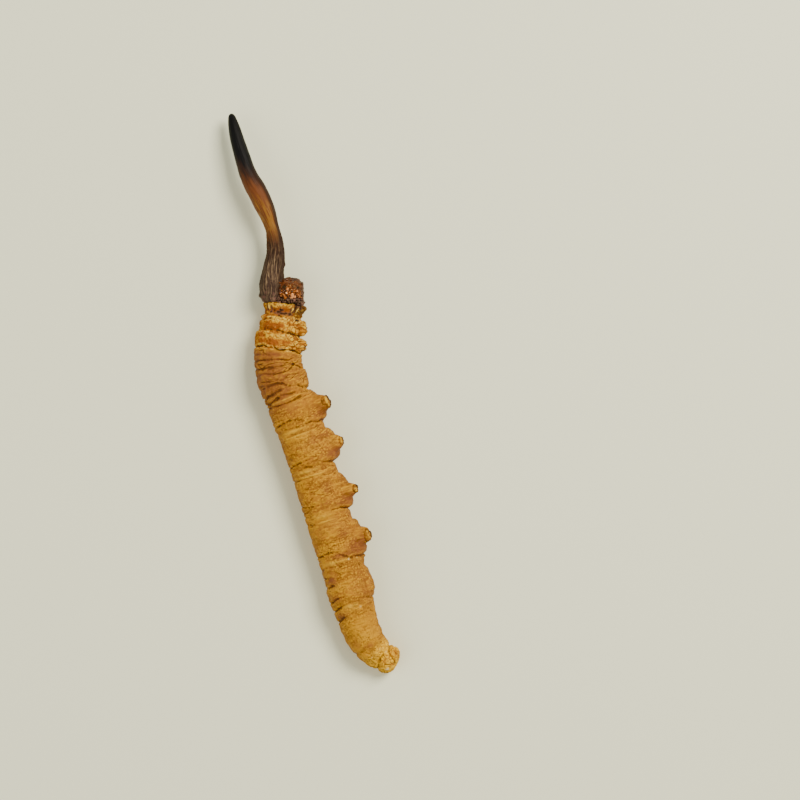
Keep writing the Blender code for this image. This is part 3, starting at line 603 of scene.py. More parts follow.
def plates_on(at, turns):
    """The arch of each plate between its folds, height * sin(pi * t^0.6), and a mask of its crest: t runs
    from 0 to 1 along the plate, which is steep on its head side."""
    relief = np.zeros((len(at), len(turns)))
    crest = np.zeros_like(relief)
    for start, end, height, lean in PLATES:
        along = held((at[:, None] - start - lean * np.cos(turns)) / (end - start))
        relief += height * np.sin(math.pi * along ** 0.6)
        crest = np.maximum(crest, hump(along, 0.2, 0.2))
    return relief, crest


def swellings_on(at, turns):
    """The belly's swelling on each leg-bearing ring: a quarter ellipse up, a shorter one down."""
    relief = np.zeros((len(at), len(turns)))
    round_belly = np.exp(-(turns / math.radians(SWELLING_SPREAD)) ** 2)
    for start, top, end, height in SWELLINGS:
        rise = np.interp(at, [start, top, end], [0, 1, 0])
        relief += height * np.sqrt(rise * (2 - rise))[:, None] * round_belly
    return relief


def stubs_on(at, turns, girth, legs, spread, share, rounded=False):
    """Pairs of stubs that legs stand on: reach * share * a smooth step from the root in to the sole, or half
    an ellipse over the root where they are rounded."""
    relief = np.zeros((len(at), len(turns)))
    for place, reach, sole, root in legs:
        for side in (spread, -spread):
            round_way = (girth[:, None] + reach) * (turns - math.radians(side))
            away = np.hypot(at[:, None] - place, round_way)
            dome = np.sqrt(1 - held(away / root) ** 2)
            relief = np.maximum(relief, share * reach * (dome if rounded else ramp(-away, -root, -sole)))
    return relief


def creases_in(skin, seed, strength, drawing=(1.0, 0.26, 0.26)):
    """Fine creases, running round the body unless drawn out another way: thin valleys, exp(-|n| / 0.08),
    where a drawn-out noise crosses 0, each fading out along its way."""
    drawn = grain(skin * drawing, CREASE_SPACING, seed, 2)
    kept = ramp(grain(skin * [1.0, 0.5, 0.5], 0.9, seed + 3), -0.15, 0.5)
    return -strength * kept * np.exp(-np.abs(drawn) / 0.08)


def body_relief(at, turns, girth, settings):
    """The larger relief of the body, with the masks that belong to it: girth is changed by folds, plates,
    swellings, the stubs of the legs and the lumps of the tail's end."""
    folds, lips = folds_in(at, turns)
    folds *= settings.fold_depth
    plates, crest = plates_on(at, turns)
    form = swellings_on(at, turns)
    form += stubs_on(at, turns, girth, BELLY_LEGS, BELLY_LEG_SPREAD, LEG_STUB)
    form += stubs_on(at, turns, girth, CHEST_LEGS, CHEST_LEG_SPREAD, 1.0, rounded=True)
    form += stubs_on(at, turns, girth, TAIL_LEGS, TAIL_LEG_SPREAD, TAIL_STUB)
    for place, turn, long, wide, height in TAIL_LUMPS:
        round_way = girth[:, None] * turned_by(turns, turn) / wide
        form += height * np.exp(-(((at[:, None] - place) / long) ** 2 + round_way ** 2) ** 1.5)
    return folds, plates, form, lips, crest


def patches_on(at, turns, patches):
    """A mask of bell-shaped patches from their table. The side that faces the floor has the same ones,
    mirrored."""
    mask = np.zeros((len(at), len(turns)))
    for place, turn, long, spread, strength in patches:
        round_way = np.minimum(np.abs(turned_by(turns, turn)), np.abs(turned_by(-turns, turn)))
        patch = hump(at[:, None], place, long) * hump(round_way, 0, math.radians(spread))
        mask = np.maximum(mask, patch * strength)
    return mask


def marks_on(at, turns):
    """Struts across the first ring's hollow and pale bands: the relief of both and the mask of each."""
    struts = np.zeros((len(at), len(turns)))
    bands = np.zeros_like(struts)
    relief = np.zeros_like(struts)
    for place, turn, height in STRUTS:
        strut = hump(at[:, None], place, 0.42) * hump(2.4 * turned_by(turns, turn), 0, 0.13)
        relief += height * strut
        struts = np.maximum(struts, strut)
    for place, turn, spread, width in PALE_BANDS:
        bands += hump(at[:, None], place, width) * hump(turned_by(turns, turn), 0, math.radians(spread))
    return relief + BAND_HEIGHT * bands, struts, bands


def body_surface(settings):
    """The larva's skin as rings of points. A ring's radius is girth + folds + plates + swellings + stubs;
    the finer relief (crust, creases, grain) is then added along the normals, and what is below the floor
    is pressed flat on it."""
    line = body_line()
    length = line[0][-1]
    at = spaced(length, NECK_ROUNDING, TAIL_ROUNDING, BODY_RINGS)
    turns = crowded_turns(BODY_SIDES, BODY_CROWDING)
    girth = smooth_table(BODY_GIRTH, at)
    folds, plates, form, lips, crest = body_relief(at, turns, girth, settings)
    places, directions = read_line(line, at)
    places[:, 2] = girth - SUNK_IN_FLOOR
    angles = np.tile(turns + math.radians(BELLY_ROLL), (len(at), 1))
    closing = round_off(at, length, NECK_ROUNDING, TAIL_ROUNDING)[:, None]
    rings = rings_round(places, directions, angles, (girth[:, None] + form + plates + folds) * closing)

    # the skin laid out for patterns: it shrinks where the ends close, so that none is drawn into rays there
    along = np.tile(at[:, None], (1, len(turns)))
    across = USUAL_GIRTH * closing
    skin = points_from(along, across * np.cos(angles), across * np.sin(angles))
    chest = 1 - ramp(along + 0.25 * grain(skin, 0.7, 15, 2), CRUST_END - 0.3, CRUST_END + 0.2)
    tail = ramp(along + 0.6 * grain(skin, 0.9, 14, 2), CRUST_TAIL - 0.7, CRUST_TAIL + 0.8)
    grainy = patches_on(at, turns, GRAINY_PATCHES)
    bare = (1 - chest) * (1 - tail)
    behind_chest = ramp(along, *REDDENED_FROM) * (1 - ramp(along, *REDDENED_TO))

    # waves and grains
    fine = 0.07 * grain(rings, 1.7, 1, 2)
    fine += 0.045 * grain(skin * [1, 0.7, 0.7], 0.6, 2, 3)
    loose = strayed(skin, 0.10, 0.35, 10)
    near, _, own, _ = pebbles(loose * [1.5, 0.85, 0.85], GRAIN_SIZE, 3)
    shagreen = (1 - ramp(near, 0.1, 0.75)) * (0.7 + 0.3 * own)
    rough = 0.65 + 0.35 * ramp(grain(skin, 1.6, 7, 2), -0.4, 0.5) + 0.2 * grainy
    calm = ramp(grain(skin, 2.0, 18, 2) + 0.4 * hump(along, 42.8, 2.0), 0.0, 0.6) * bare
    fine += settings.grain_height / MM * rough * (1 - 0.65 * calm) * (shagreen - 0.5)
    banding = grain(loose * [1, 0.24, 0.24], 0.7, 16, 3)
    fine += 0.038 * banding * bare

    # creases round the body, slanting ones and lengthwise ones
    crease = settings.crease_depth / MM
    creased = (1 - 0.7 * chest) * (1 + 1.7 * behind_chest)
    fine += creases_in(skin, 8, crease) * creased
    slanted = skin + points_from(-0.5 * skin[..., 2], 0.0, 0.0)
    fine += creases_in(slanted + 40.0, 9, crease) * creased
    fine += creases_in(skin, 19, crease * (0.6 - 0.3 * behind_chest), (0.3, 1.3, 1.3)) * (1 - chest)

    # crust on the chest and the tail's end: tilted clods with gaps between them, crumbling
    under = ramp(np.cos(turns), 0.15, 0.7)[None, :]
    bent = strayed(skin, 0.22, 0.55, 17)
    near, second, lump, tilt = pebbles(bent * [1.3, 0.95, 0.95], CLOD_SIZE, 5)
    clods = ramp(second - near, 0.02, 0.34) - 0.6 + 0.55 * tilt
    crumble = 1 - 2.6 * np.abs(grain(bent * [1, 0.8, 0.8], 0.75, 4, 3))
    height = settings.crust_height / MM * (1 - 0.8 * held(-folds / 0.2))
    fine += chest * height * ((0.4 + 0.6 * under) * clods + 0.35 * crumble)
    fine += tail * height * (0.5 * clods + 0.15 * crumble)
    fine += creases_in(bent, 38, CRUST_CREASE_DEPTH, (0.5, 1.0, 1.0)) * (tail + 0.8 * chest)
    marks, struts, bands = marks_on(at, turns)
    fine += marks
    rings = pushed_out(rings, fine * closing)
    rings[:, :, 2] = np.maximum(rings[:, :, 2], 0.0)

    reddened = behind_chest * (0.45 + 0.75 * ramp(-np.cos(turns), -0.35, 0.45))
    masks = {
        "along": along,
        "under": np.tile((1 + np.cos(turns)) / 2, (len(at), 1)),
        # how far the fine relief stands above its softened self, for painted shade between the grains and
        # painted light on their tops
        "grit": held(0.5 - (soften(fine, 8) - fine) / 0.03),
        "chest": chest,
        "tail": tail,
        # lip and crest are laid on as painted light: on the folds' puffed lips and on the chest plates'
        # crests
        "lip": held(lips),
        "crest": crest * chest,
        # red-brown behind the chest and in the red patches; those at the swellings' tail-side ends are
        # painted shade
        "red": np.maximum(reddened, patches_on(at, turns, RED_PATCHES)),
        "grainy": grainy,
        "calm": calm,
        "strut": struts,
        # the pale bands, for a painted sheen
        "band": held(bands * (0.75 + 0.7 * grain(skin, 0.4, 12, 2))),
        "banding": mask_from(banding, 0.6),
        "streak": mask_from(grain(skin * [1, 0.3, 0.3], 0.3, 13, 2)),
        "flake": mask_from(lump),
        # the gaps between the crust's clods, for painted shade
        "crack": 1 - ramp(second - near, 0.06, 0.30),
        # hollow and ridge: how far the relief lies below or above its softened self, for painted shade in
        # the hollows and painted light on the ridges
        **hollows_of(folds + 0.6 * plates + fine, 50, 0.16, 0.08, 0.01),
        **{name: patches_on(at, turns, patches) for name, patches in CRUST_PATCHES.items()},
    }
    return at, rings, outward(rings), masks


def leg_knobs():
    """The knobs of the legs: for each, rings about its own axis, slightly oval, that narrow to a rounded rim
    and a dished sole. They have ridges lengthwise, k cos 9t bent by noise, a crease round and pebbly
    lumps."""
    steps = np.linspace(0, len(KNOB_PROFILE) - 1, KNOB_RINGS)
    radius, height = natural_spline(np.arange(len(KNOB_PROFILE)), np.array(KNOB_PROFILE), steps).T
    turns = even_turns(KNOB_SIDES)
    line = body_line()
    crease = hump(height, 0.35, 0.09)[:, None]
    knobs = []
    for place, reach, sole, _ in BELLY_LEGS:
        for side in (BELLY_LEG_SPREAD, -BELLY_LEG_SPREAD):
            at = np.array([place])
            girth = smooth_table(BODY_GIRTH, at)[0]
            middle, along = read_line(line, at)
            middle[:, 2] = girth - SUNK_IN_FLOOR
            angle = np.array([[math.radians(side + BELLY_ROLL)]])
            swell = swellings_on(at, np.array([math.radians(side)]))[0, 0]
            foot, tip = (rings_round(middle, along, angle, np.array([[girth + swell + out]]))[0, 0]
                         for out in (KNOB_START, reach))
            axis = tip - foot
            tall = np.linalg.norm(axis)
            axis /= tall
            round_way = unit(np.cross(axis, along[0]))
            forward = np.cross(round_way, axis)
            wide = (sole + 0.02) * radius[:, None] * (1 + 0.08 * np.cos(turns))
            rings = (foot + (height * tall)[:, None, None] * axis
                     + (wide * np.cos(turns))[:, :, None] * forward
                     + (wide * np.sin(turns))[:, :, None] * round_way)
            bent = 9 * turns + 2.2 * grain(rings, 0.6, 35, 2)
            rough = 0.10 * grain(rings, 0.55, 30, 2) + 0.045 * grain(rings, 0.2, 31, 2)
            rough += 0.035 * np.cos(bent) * hump(height, 0.55, 0.4)[:, None]
            rough -= 0.06 * crease * (1 + 1.5 * grain(rings, 0.5, 36))
            knobs.append(pushed_out(rings, rough))
    knobs = np.array(knobs)
    knobs[..., 2] = np.maximum(knobs[..., 2], 0.0)
    shape = knobs.shape[:3]
    places = np.repeat([leg[0] for leg in BELLY_LEGS], 2)[:, None, None]
    end = (ramp(height, 0.80, 0.91) * ramp(radius, 0.25, 0.5))[:, None]
    spot = ramp(height, 0.78, 0.92)[:, None] * ramp(-np.sin(turns), 0.5, 0.85)
    masks = {
        "along": np.broadcast_to(places, shape),
        "under": np.full(shape, 0.9),
        "sole": spot[None] * ramp(grain(knobs, 0.4, 37, 2), -0.6, 0.0),
        "hooks": (end * ramp(np.sin(turns), -0.5, 0.1))[None] * (1.0 + 0.6 * grain(knobs, 0.22, 33)),
        # a noise that stands in for the grains, for the same painted shade and light as on the body
        "grit": mask_from(grain(knobs, 0.2, 32)),
        # darkened like the body's hollows: painted shade in the crease round the knob, and patches from a
        # noise
        "hollow": held(0.9 * grain(knobs, 0.35, 34, 2) - 0.1 + 0.6 * crease),
    }
    return knobs, masks


def stalk_surface(settings):
    """The stalk's skin: rings of girth + lengthwise ridges, whose heights are noise drawn out along the
    stalk; near the foot the ridges wave and knot, and a few nubs stand out."""
    line = smooth_line(STALK_LINE)
    length = line[0][-1]
    at = spaced(length, STALK_TIP_ROUNDING, STALK_FOOT_ROUNDING, STALK_RINGS)
    turns = even_turns(STALK_SIDES)
    girth = smooth_table(STALK_GIRTH, at)
    places, directions = read_line(line, at)
    tall = 1 + (FOOT_HEIGHT_SHARE - 1) * held((at - STALK_SMOOTH_END) / (length - STALK_SMOOTH_END))
    closing = round_off(at, length, STALK_TIP_ROUNDING, STALK_FOOT_ROUNDING)[:, None]
    angles = np.tile(turns, (len(at), 1))
    ridged = ramp(at, STALK_SMOOTH_END - 1.5, STALK_SMOOTH_END + 3.0)[:, None]
    knotty = ramp(at, *KNOTTY_FROM)[:, None]
    skin = points_from(at[:, None], np.cos(turns), np.sin(turns))
    twisted = turns[None, :] + 0.05 * at[:, None] + 0.08 * grain(skin, 1.6, 27, 2)
    twisted = twisted + 0.12 * knotty * grain(skin, 0.9, 28, 2)
    strands = points_from(np.cos(twisted) * STRANDS_WIDTH, np.sin(twisted) * STRANDS_WIDTH,
                          at[:, None] / STRANDS_DRAWING)
    ridges = 1 - 2 * np.abs(grain(strands, 0.6, 20, 3))
    uneven = 0.5 + 0.9 * ramp(grain(skin, 1.2, 29, 2), -0.4, 0.5)
    relief = settings.ridge_height / MM * ridged * ridges * uneven
    relief += 0.05 * grain(strands, 2.4, 26) * ramp(at, 4.0, 12.0)[:, None]
    relief += 0.014 * (1 - ridged) * grain(strands, 0.5, 21, 2)
    for place, turn, radius, height in NUBS:
        away = np.hypot(at[:, None] - place, girth[:, None] * turned_by(turns, turn))
        relief += height * np.exp(-(away / radius) ** 1.5)
    rings = rings_round(places, directions, angles, (girth[:, None] + relief) * closing, tall)

    along = np.tile(at[:, None], (1, len(turns)))
    fine = 0.05 * grain(rings, 1.1, 22, 2) * ramp(along, 2.0, 12.0)
    fine += 0.04 * knotty * (1 - 2 * np.abs(grain(rings, 0.55, 23, 2)))
    fine += 0.02 * grain(rings, 0.2, 24, 2) * ridged
    rings = pushed_out(rings, fine * closing)
    masks = {
        "along": along,
        "right": np.tile(np.cos(turns), (len(at), 1)),
        "pink": ramp(at, 22.6, 23.8)[:, None] * mask_from(grain(rings, 0.35, 29, 2)),
        "strand": mask_from(grain(strands, 0.34, 25, 2), 0.6),
        **hollows_of(relief + fine, 24, 0.07, 0.06),
    }
    return rings, outward(rings), masks


def head_surface(settings):
    """The head's skin: a rounded box, |x/a|^n + |y/b|^n + |z/c|^n = 1, with small glassy facets standing out
    of it: each is a tilted flat with a gap round it, highest on the half of the face next to the neck."""
    ball = unit_ball(HEAD_RINGS, HEAD_SIDES)
    size = np.sum(np.abs(ball) ** HEAD_SQUARENESS, axis=2) ** (1 / HEAD_SQUARENESS)
    boxy = ball / size[:, :, None]
    rings = np.array(HEAD_CENTRE) + boxy * np.array(HEAD_RADII)
    swell = 0.14 * grain(rings, 1.1, 40, 2)
    near, second, own, tilt = pebbles(rings, settings.facet_size / MM, 41)
    facing = ramp(-boxy[:, :, 1] - 0.6 * boxy[:, :, 0] ** 2, -0.45, 0.15)
    edge = ramp(second - near, 0.03, 0.30)
    facets = edge * (0.7 + 0.3 * own) + 0.9 * tilt - 0.6
    facets *= settings.facet_height / MM * (0.25 + 0.75 * facing)
    curls = hump(grain(rings, 0.5, 45, 2), 0, 0.13) * facing * ramp(grain(rings, 0.7, 46), -0.3, 0.2)
    facets += 0.07 * curls
    # glints: a mask for painted highlights, from the curls and then the glassy lumps
    glints = 0.62 * curls
    for x, y, radius, height, bright in GLINTS:
        away = np.hypot(rings[:, :, 0] - x, rings[:, :, 1] - y) + 0.12 * grain(rings, 0.2, 44)
        lump = np.exp(-(away / radius) ** 4)
        facets = facets * (1 - lump) + height * lump * (1 + 0.4 * tilt)
        glints = glints * (1 - lump) + bright * lump
    crumbs = 0.05 * grain(rings, 0.3, 42, 2)
    rings = pushed_out(rings, swell + facets + crumbs)
    rim = ramp(0.5 * grain(rings, 0.8, 43, 2) + 1.5 * boxy[:, :, 1] + boxy[:, :, 0] ** 3, 1.0, 1.6)
    rim = np.maximum(rim, ramp(-boxy[:, :, 0] + 0.15 * grain(rings, 0.5, 47), 0.68, 0.9))
    masks = {
        "facet": mask_from(own),
        "facing": facing,
        "glint": glints,
        "rim": rim,
        **hollows_of(facets + crumbs, 14, 0.06, 0.06),
    }
    return rings, outward(rings), masks


def crumbs_round():
    """Crumbs of crust: each is a small lumpy ball, thrown on an oval band where two pieces meet."""
    drawn = np.random.default_rng(SEED)
    ball = unit_ball(CRUMB_BANDS, CRUMB_SIDES)
    crumbs = []
    shades = []
    for middle, half_widths, radius, count in CRUMB_RINGS:
        thrown = unit(drawn.normal(size=(count, 3)))
        thrown[:, 2] = np.where(drawn.random(count) < 0.7, np.abs(thrown[:, 2]), thrown[:, 2])
        centres = np.array(middle) + thrown * half_widths * drawn.uniform(0.9, 1.06, (count, 1))
        sizes = radius * drawn.uniform(0.45, 1.2, (count, 1, 1, 1))
        sizes = sizes * drawn.uniform(0.55, 1.35, (count, 1, 1, 3))
        crumbs.append(centres[:, None, None, :] + ball[None] * sizes)
        shades.append(drawn.random(count))
    crumbs = np.concatenate(crumbs)
    crumbs = pushed_out(crumbs, 0.07 * grain(crumbs, 0.13, 60, 2))
    shade = np.broadcast_to(np.concatenate(shades)[:, None, None], crumbs.shape[:3])
    return crumbs, {"shade": shade}


def with_middles(values):
    """A value for every point of the shells, then one for each shell's first and last middle."""
    middles = np.stack([values[:, 0].mean(axis=1), values[:, -1].mean(axis=1)], axis=1)
    return np.concatenate([values.reshape(-1, *values.shape[3:]), middles.reshape(-1, *values.shape[3:])])


def closed_mesh(name, shells, normals, masks):
    """A mesh over shells of rings of points, shape (shells, rings, sides, 3). Each shell's ends are closed
    by fans to the end rings' middles. The masks are stored on the points, and normals that are given are
    kept."""
    shells = shells.reshape((-1, *shells.shape[-3:]))
    number, count, sides = shells.shape[:3]
    points = with_middles(shells) * MM
    start = np.arange(number * count * sides).reshape(number, count, sides)
    after = np.roll(start, -1, axis=2)
    quads = np.stack([start[:, :-1], after[:, :-1], after[:, 1:], start[:, 1:]], axis=3).reshape(-1, 4)
    poles = start.size + np.arange(number * 2).reshape(number, 2, 1).repeat(sides, axis=2)
    first = np.stack([poles[:, 0], after[:, 0], start[:, 0]], axis=2)
    last = np.stack([poles[:, 1], start[:, -1], after[:, -1]], axis=2)
    corners = np.concatenate([quads.ravel(), first.ravel(), last.ravel()])
    sizes = np.concatenate([np.full(len(quads), 4), np.full(2 * number * sides, 3)])
    mesh = bpy.data.meshes.new(name)
    mesh.vertices.add(len(points))
    mesh.vertices.foreach_set("co", points.ravel())
    mesh.loops.add(len(corners))
    mesh.loops.foreach_set("vertex_index", corners.astype(np.int32))
    mesh.polygons.add(len(sizes))
    mesh.polygons.foreach_set("loop_start", np.concatenate([[0], np.cumsum(sizes)[:-1]]).astype(np.int32))
    mesh.update(calc_edges=True)
    mesh.shade_smooth()
    if normals is not None:
        mesh.normals_split_custom_set_from_vertices(with_middles(normals.reshape(shells.shape)))
    for label, values in masks.items():
        values = with_middles(np.asarray(values).reshape(number, count, sides))
        mesh.attributes.new(label, "FLOAT", "POINT").data.foreach_set("value", values.astype(np.float32))
    return mesh


# ======== shader maths


def arithmetic(operation, turned=False):
    """A method that adds a Math node; turned, the other value comes first."""
    def method(self, other):
        first, second = (other, self) if turned else (self, other)
        return self.paint.node("ShaderNodeMath", {"operation": operation}, {0: first, 1: second})
    return method


class Value:
    """A node's output; arithmetic on it adds Math nodes."""

    __add__, __radd__ = arithmetic("ADD"), arithmetic("ADD", True)
    __sub__, __rsub__ = arithmetic("SUBTRACT"), arithmetic("SUBTRACT", True)
    __mul__, __rmul__ = arithmetic("MULTIPLY"), arithmetic("MULTIPLY", True)

    def __init__(self, paint, socket):
        self.paint = paint
        self.socket = socket

    def between(self, low, high):
        """A smooth step from 0 at low to 1 at high; low may be the larger."""
        inputs = {"Value": self, "From Min": low, "From Max": high, "To Min": 0.0, "To Max": 1.0}
        return self.paint.node("ShaderNodeMapRange", {"interpolation_type": "SMOOTHSTEP"}, inputs)


class Paint:
    """A material and its node tree, with the settings that hold its colours."""

    def __init__(self, name, settings):
        self.settings = settings
        self.material = bpy.data.materials.new(name)
        self.material.use_nodes = True
        self.tree = self.material.node_tree
        self.shader = self.tree.nodes["Principled BSDF"]
        self.place = self.node("ShaderNodeTexCoord", {}, {}, "Object")

    def node(self, kind, settings, inputs, output=0):
        """Add a node with its settings and the values or links of its sockets, and return one output."""
        made = self.tree.nodes.new(kind)
        for name, setting in settings.items():
            setattr(made, name, setting)
        for name, value in inputs.items():
            if isinstance(value, Value):
                self.tree.links.new(value.socket, made.inputs[name])
            else:
                made.inputs[name].default_value = value
        return Value(self, made.outputs[output])

    def masks(self, names):
        """Numbers stored on the mesh's points, by their names."""
        return [self.node("ShaderNodeAttribute", {"attribute_name": name}, {}, "Fac")
                for name in names.split()]

    def noise(self, size, detail=3.0, roughness=0.5):
        """Noise from 0 to 1 whose lumps are about this many millimetres across."""
        inputs = {"Vector": self.place, "Scale": 1 / (size * MM), "Detail": detail, "Roughness": roughness}
        return self.node("ShaderNodeTexNoise", {}, inputs)

    def mix(self, amount, first, second):
        """The first colour turned into the second by that amount; colours are nodes or a setting's name."""
        colours = {key: value if isinstance(value, Value) else (*getattr(self.settings, value), 1.0)
                   for key, value in ((6, first), (7, second))}
        return self.node("ShaderNodeMix", {"data_type": "RGBA"}, {0: amount, **colours}, 2)

    def coated(self, colour, *coats):
        """A colour under coats laid on one after another, each an amount and its own colour."""
        for amount, coat in coats:
            colour = self.mix(amount, colour, coat)
        return colour

    def bump(self, height, depth):
        """A bumped normal: the height is 0 to 1 and the depth in millimetres."""
        return self.node("ShaderNodeBump", {}, {"Height": height, "Distance": depth * MM})

    def finish(self, links, constants):
        """Link the varying inputs of the surface and set the constant ones."""
        for name, value in links.items():
            self.tree.links.new(value.socket, self.shader.inputs[name])
        for name, value in constants.items():
            self.shader.inputs[name].default_value = value
        return self.material


def broken(patch, noise):
    """A patch whose edge is broken up by a noise."""
    return (patch + 1.5 * (noise - 0.5)).between(0.4, 0.72)


def skin_paint(settings):
    """Dried skin: grained ochre with reddened patches, paler at the tail; painted shade in the folds,
    between the grains, on the swellings' tail-side slopes and along the belly's and back's middle lines, and
    painted light on the grains' tops, the folds' lips, the ridges and, as a sheen, the pale bands; golden
    crust with painted light on its crests, orange-brown painted shade on its flanks and in its cracks, and
    cream crumbs on the chest rings; pale soles with dark hooks."""
    paint = Paint("larva_skin", settings)
    along, under, hollow, ridge, grit, streak = paint.masks("along under hollow ridge grit streak")
    chest, tail, lip, red, grainy, crest = paint.masks("chest tail lip red grainy crest")
    flake, cream, golden, rust, dark, crack = paint.masks("flake cream gold rust dark crack")
    banding, calm, band, strut, sole, hooks = paint.masks("banding calm band strut sole hooks")
    large, patchy, blotchy = paint.noise(4.0, 2.0), paint.noise(1.5), paint.noise(0.9)
    mottled, speckled = paint.noise(0.45, 3.0, 0.6), paint.noise(0.2, 3.0, 0.65)
    flaky, gold = paint.noise(0.4, 4.0, 0.6), paint.noise(1.1, 2.0)
    lively = 1 - 0.5 * calm
    grains = 0.6 + 0.3 * grainy
    belly = under.between(0.5, 0.9) * along.between(11.0, 15.0)

    base = paint.coated(
        "skin",
        (large.between(0.42, 0.62) * 0.35, "reddened"),
        (patchy.between(0.52, 0.7) * 0.45, "reddened"),
        (patchy.between(0.48, 0.3) * 0.35, "pale_skin"),
        (blotchy.between(0.52, 0.64) * 0.5, "olive_skin"),
        (along.between(38.0, 43.0) * 0.6, "pale_skin"),
        (mottled.between(0.5, 0.72) * 0.3, "pale_skin"),
        (banding.between(0.5, 0.85) * (1 - 0.6 * red) * 0.33, "pale_skin"),
        (banding.between(0.7, 1.0) * (1 - red) * 0.15, "light_skin"),
        (banding.between(0.45, 0.1) * 0.38, "shade"),
        (streak.between(0.55, 0.85) * 0.25, "pale_skin"),
        (streak.between(0.45, 0.15) * 0.25, "shade"),
        (belly * (0.05 + 0.4 * patchy), "reddened"),
        # the red patches: stains, and painted shade on the swellings' tail-side slopes
        ((red * (0.5 + mottled)).between(0.0, 0.9), "reddened"),
        (speckled.between(0.5, 0.3) * 0.5 * lively, "shade"),
        # painted shade between the grains and painted light on their tops
        (grit.between(0.5, 0.05) * grains * lively, "shade"),
        (grit.between(0.55, 0.95) * grains * (1 - 0.6 * red), "pale_skin"),
        (grit.between(0.8, 1.0) * lively * (1 - red) * 0.3, "light_skin"),
        # painted highlight on the folds' puffed lips
        (lip * 0.35 * (1 - red), "pale_skin"),
        # painted sheen on the pale bands
        (band * 0.75, "light_skin"),
        # painted light on the ridges of the relief
        (ridge * 0.3, "pale_skin"),
        # painted shade: the fold colour darkens the folds and the relief's other hollows by their depth
        (hollow.between(0.05, 0.7) * 0.82, "fold"))

    # painted light and shade laid into the tone: lighter on the chest plates' crests, darker on the flanks
    # that face away
    flank_shade = under.between(0.62, 0.42)
    tone = 0.12 + 0.5 * flake + 0.5 * (flaky - 0.5) + 0.5 * (gold - 0.5) + 0.35 * crest - 0.22 * flank_shade
    tone = tone + 0.4 * golden + 0.6 * cream - rust * (0.25 + 1.0 * flaky)
    soiled = along.between(2.4, 1.2) * (0.1 + 0.9 * under.between(0.66, 0.8)) * mottled.between(0.28, 0.5)
    # the deepest cracks on the belly side, for painted shade
    deep_crack = crack.between(0.7, 1.0) * under.between(0.5, 0.9) * flaky.between(0.35, 0.6)
    crust = paint.coated(
        "crust_shadow",
        (tone.between(0.05, 0.35), "crust"),
        (tone.between(0.42, 0.75), "crust_gold"),
        (tone.between(1.0, 1.35), "crust_rim"),
        # painted light on the lips' ridges and on the grains' tops
        (ridge * lip * flaky.between(0.42, 0.58) * 0.7, "crust_rim"),
        (grit.between(0.7, 1.0) * tone.between(0.3, 0.7) * 0.3, "crust_rim"),
        # painted shade in the cracks between the clods, between the grains and in the hollows
        (crack * under.between(0.35, 0.8) * 0.8, "crust_shadow"),
        (deep_crack * 0.8, "crust_depth"),
        (grit.between(0.45, 0.0) * 0.75, "crust_shadow"),
        (hollow.between(0.1, 0.5) * 0.5, "crust_shadow"),
        (hollow.between(0.3, 0.95) * 0.85, "crust_depth"),
        (soiled * 0.85, "crust_depth"),
        (strut.between(0.3, 0.9) * 0.85, "crust_rim"))

    tail_crust = paint.coated(
        "crust_gold",
        (tone.between(-0.1, 0.3), "tail_gold"),
        (tone.between(0.6, 1.1) * 0.7, "light_skin"),
        (rust.between(0.3, 0.8) * 0.9, "crust"),
        (red * 0.85, "crust"),
        # painted light on the ridges
        (ridge * 0.35, "light_skin"),
        # painted shade in the cracks and between the grains
        (crack * flaky.between(0.3, 0.65) * 0.7, "crust_shadow"),
        (grit.between(0.45, 0.0) * 0.5, "crust_shadow"),
        (broken(cream, flaky), "crust_rim"),
        # painted shade in the hollows
        (hollow.between(0.1, 0.9) * 0.65, "shade"))

    base = paint.coated(
        base,
        (chest, crust),
        ((dark + 0.6 * (flaky - 0.5)).between(0.15, 0.45) * 0.8, "soil"),
        (broken(dark, flaky), "crust_depth"),
        (tail * 0.9, tail_crust),
        ((1 - chest) * (1 - tail) * broken(cream, flaky) * 0.38, "crust_rim"),
        # painted shade in thin lines along the belly's middle and the back's, where the skin turns away at
        # its outline
        (under.between(0.93, 1.0) * (0.25 + 0.6 * mottled), "shade"),
        (under.between(0.05, 0.0) * (0.1 + 0.5 * mottled), "shade"),
        ((cream * (0.4 + 1.2 * flaky)).between(0.95, 1.3) * 0.9, "cream"),
        (sole * (0.3 + 0.9 * mottled), "light_skin"),
        (hooks.between(0.3, 0.7) * 0.85, "crust_depth"))

    normal = paint.bump(speckled * 0.6 + mottled * 0.4, settings.pit_depth / MM)
    roughness = 0.52 + 0.25 * speckled + 0.1 * chest
    return paint.finish({"Base Color": base, "Roughness": roughness, "Normal": normal},
                        {"Specular IOR Level": 0.12, "Specular Tint": WARM_SHINE})


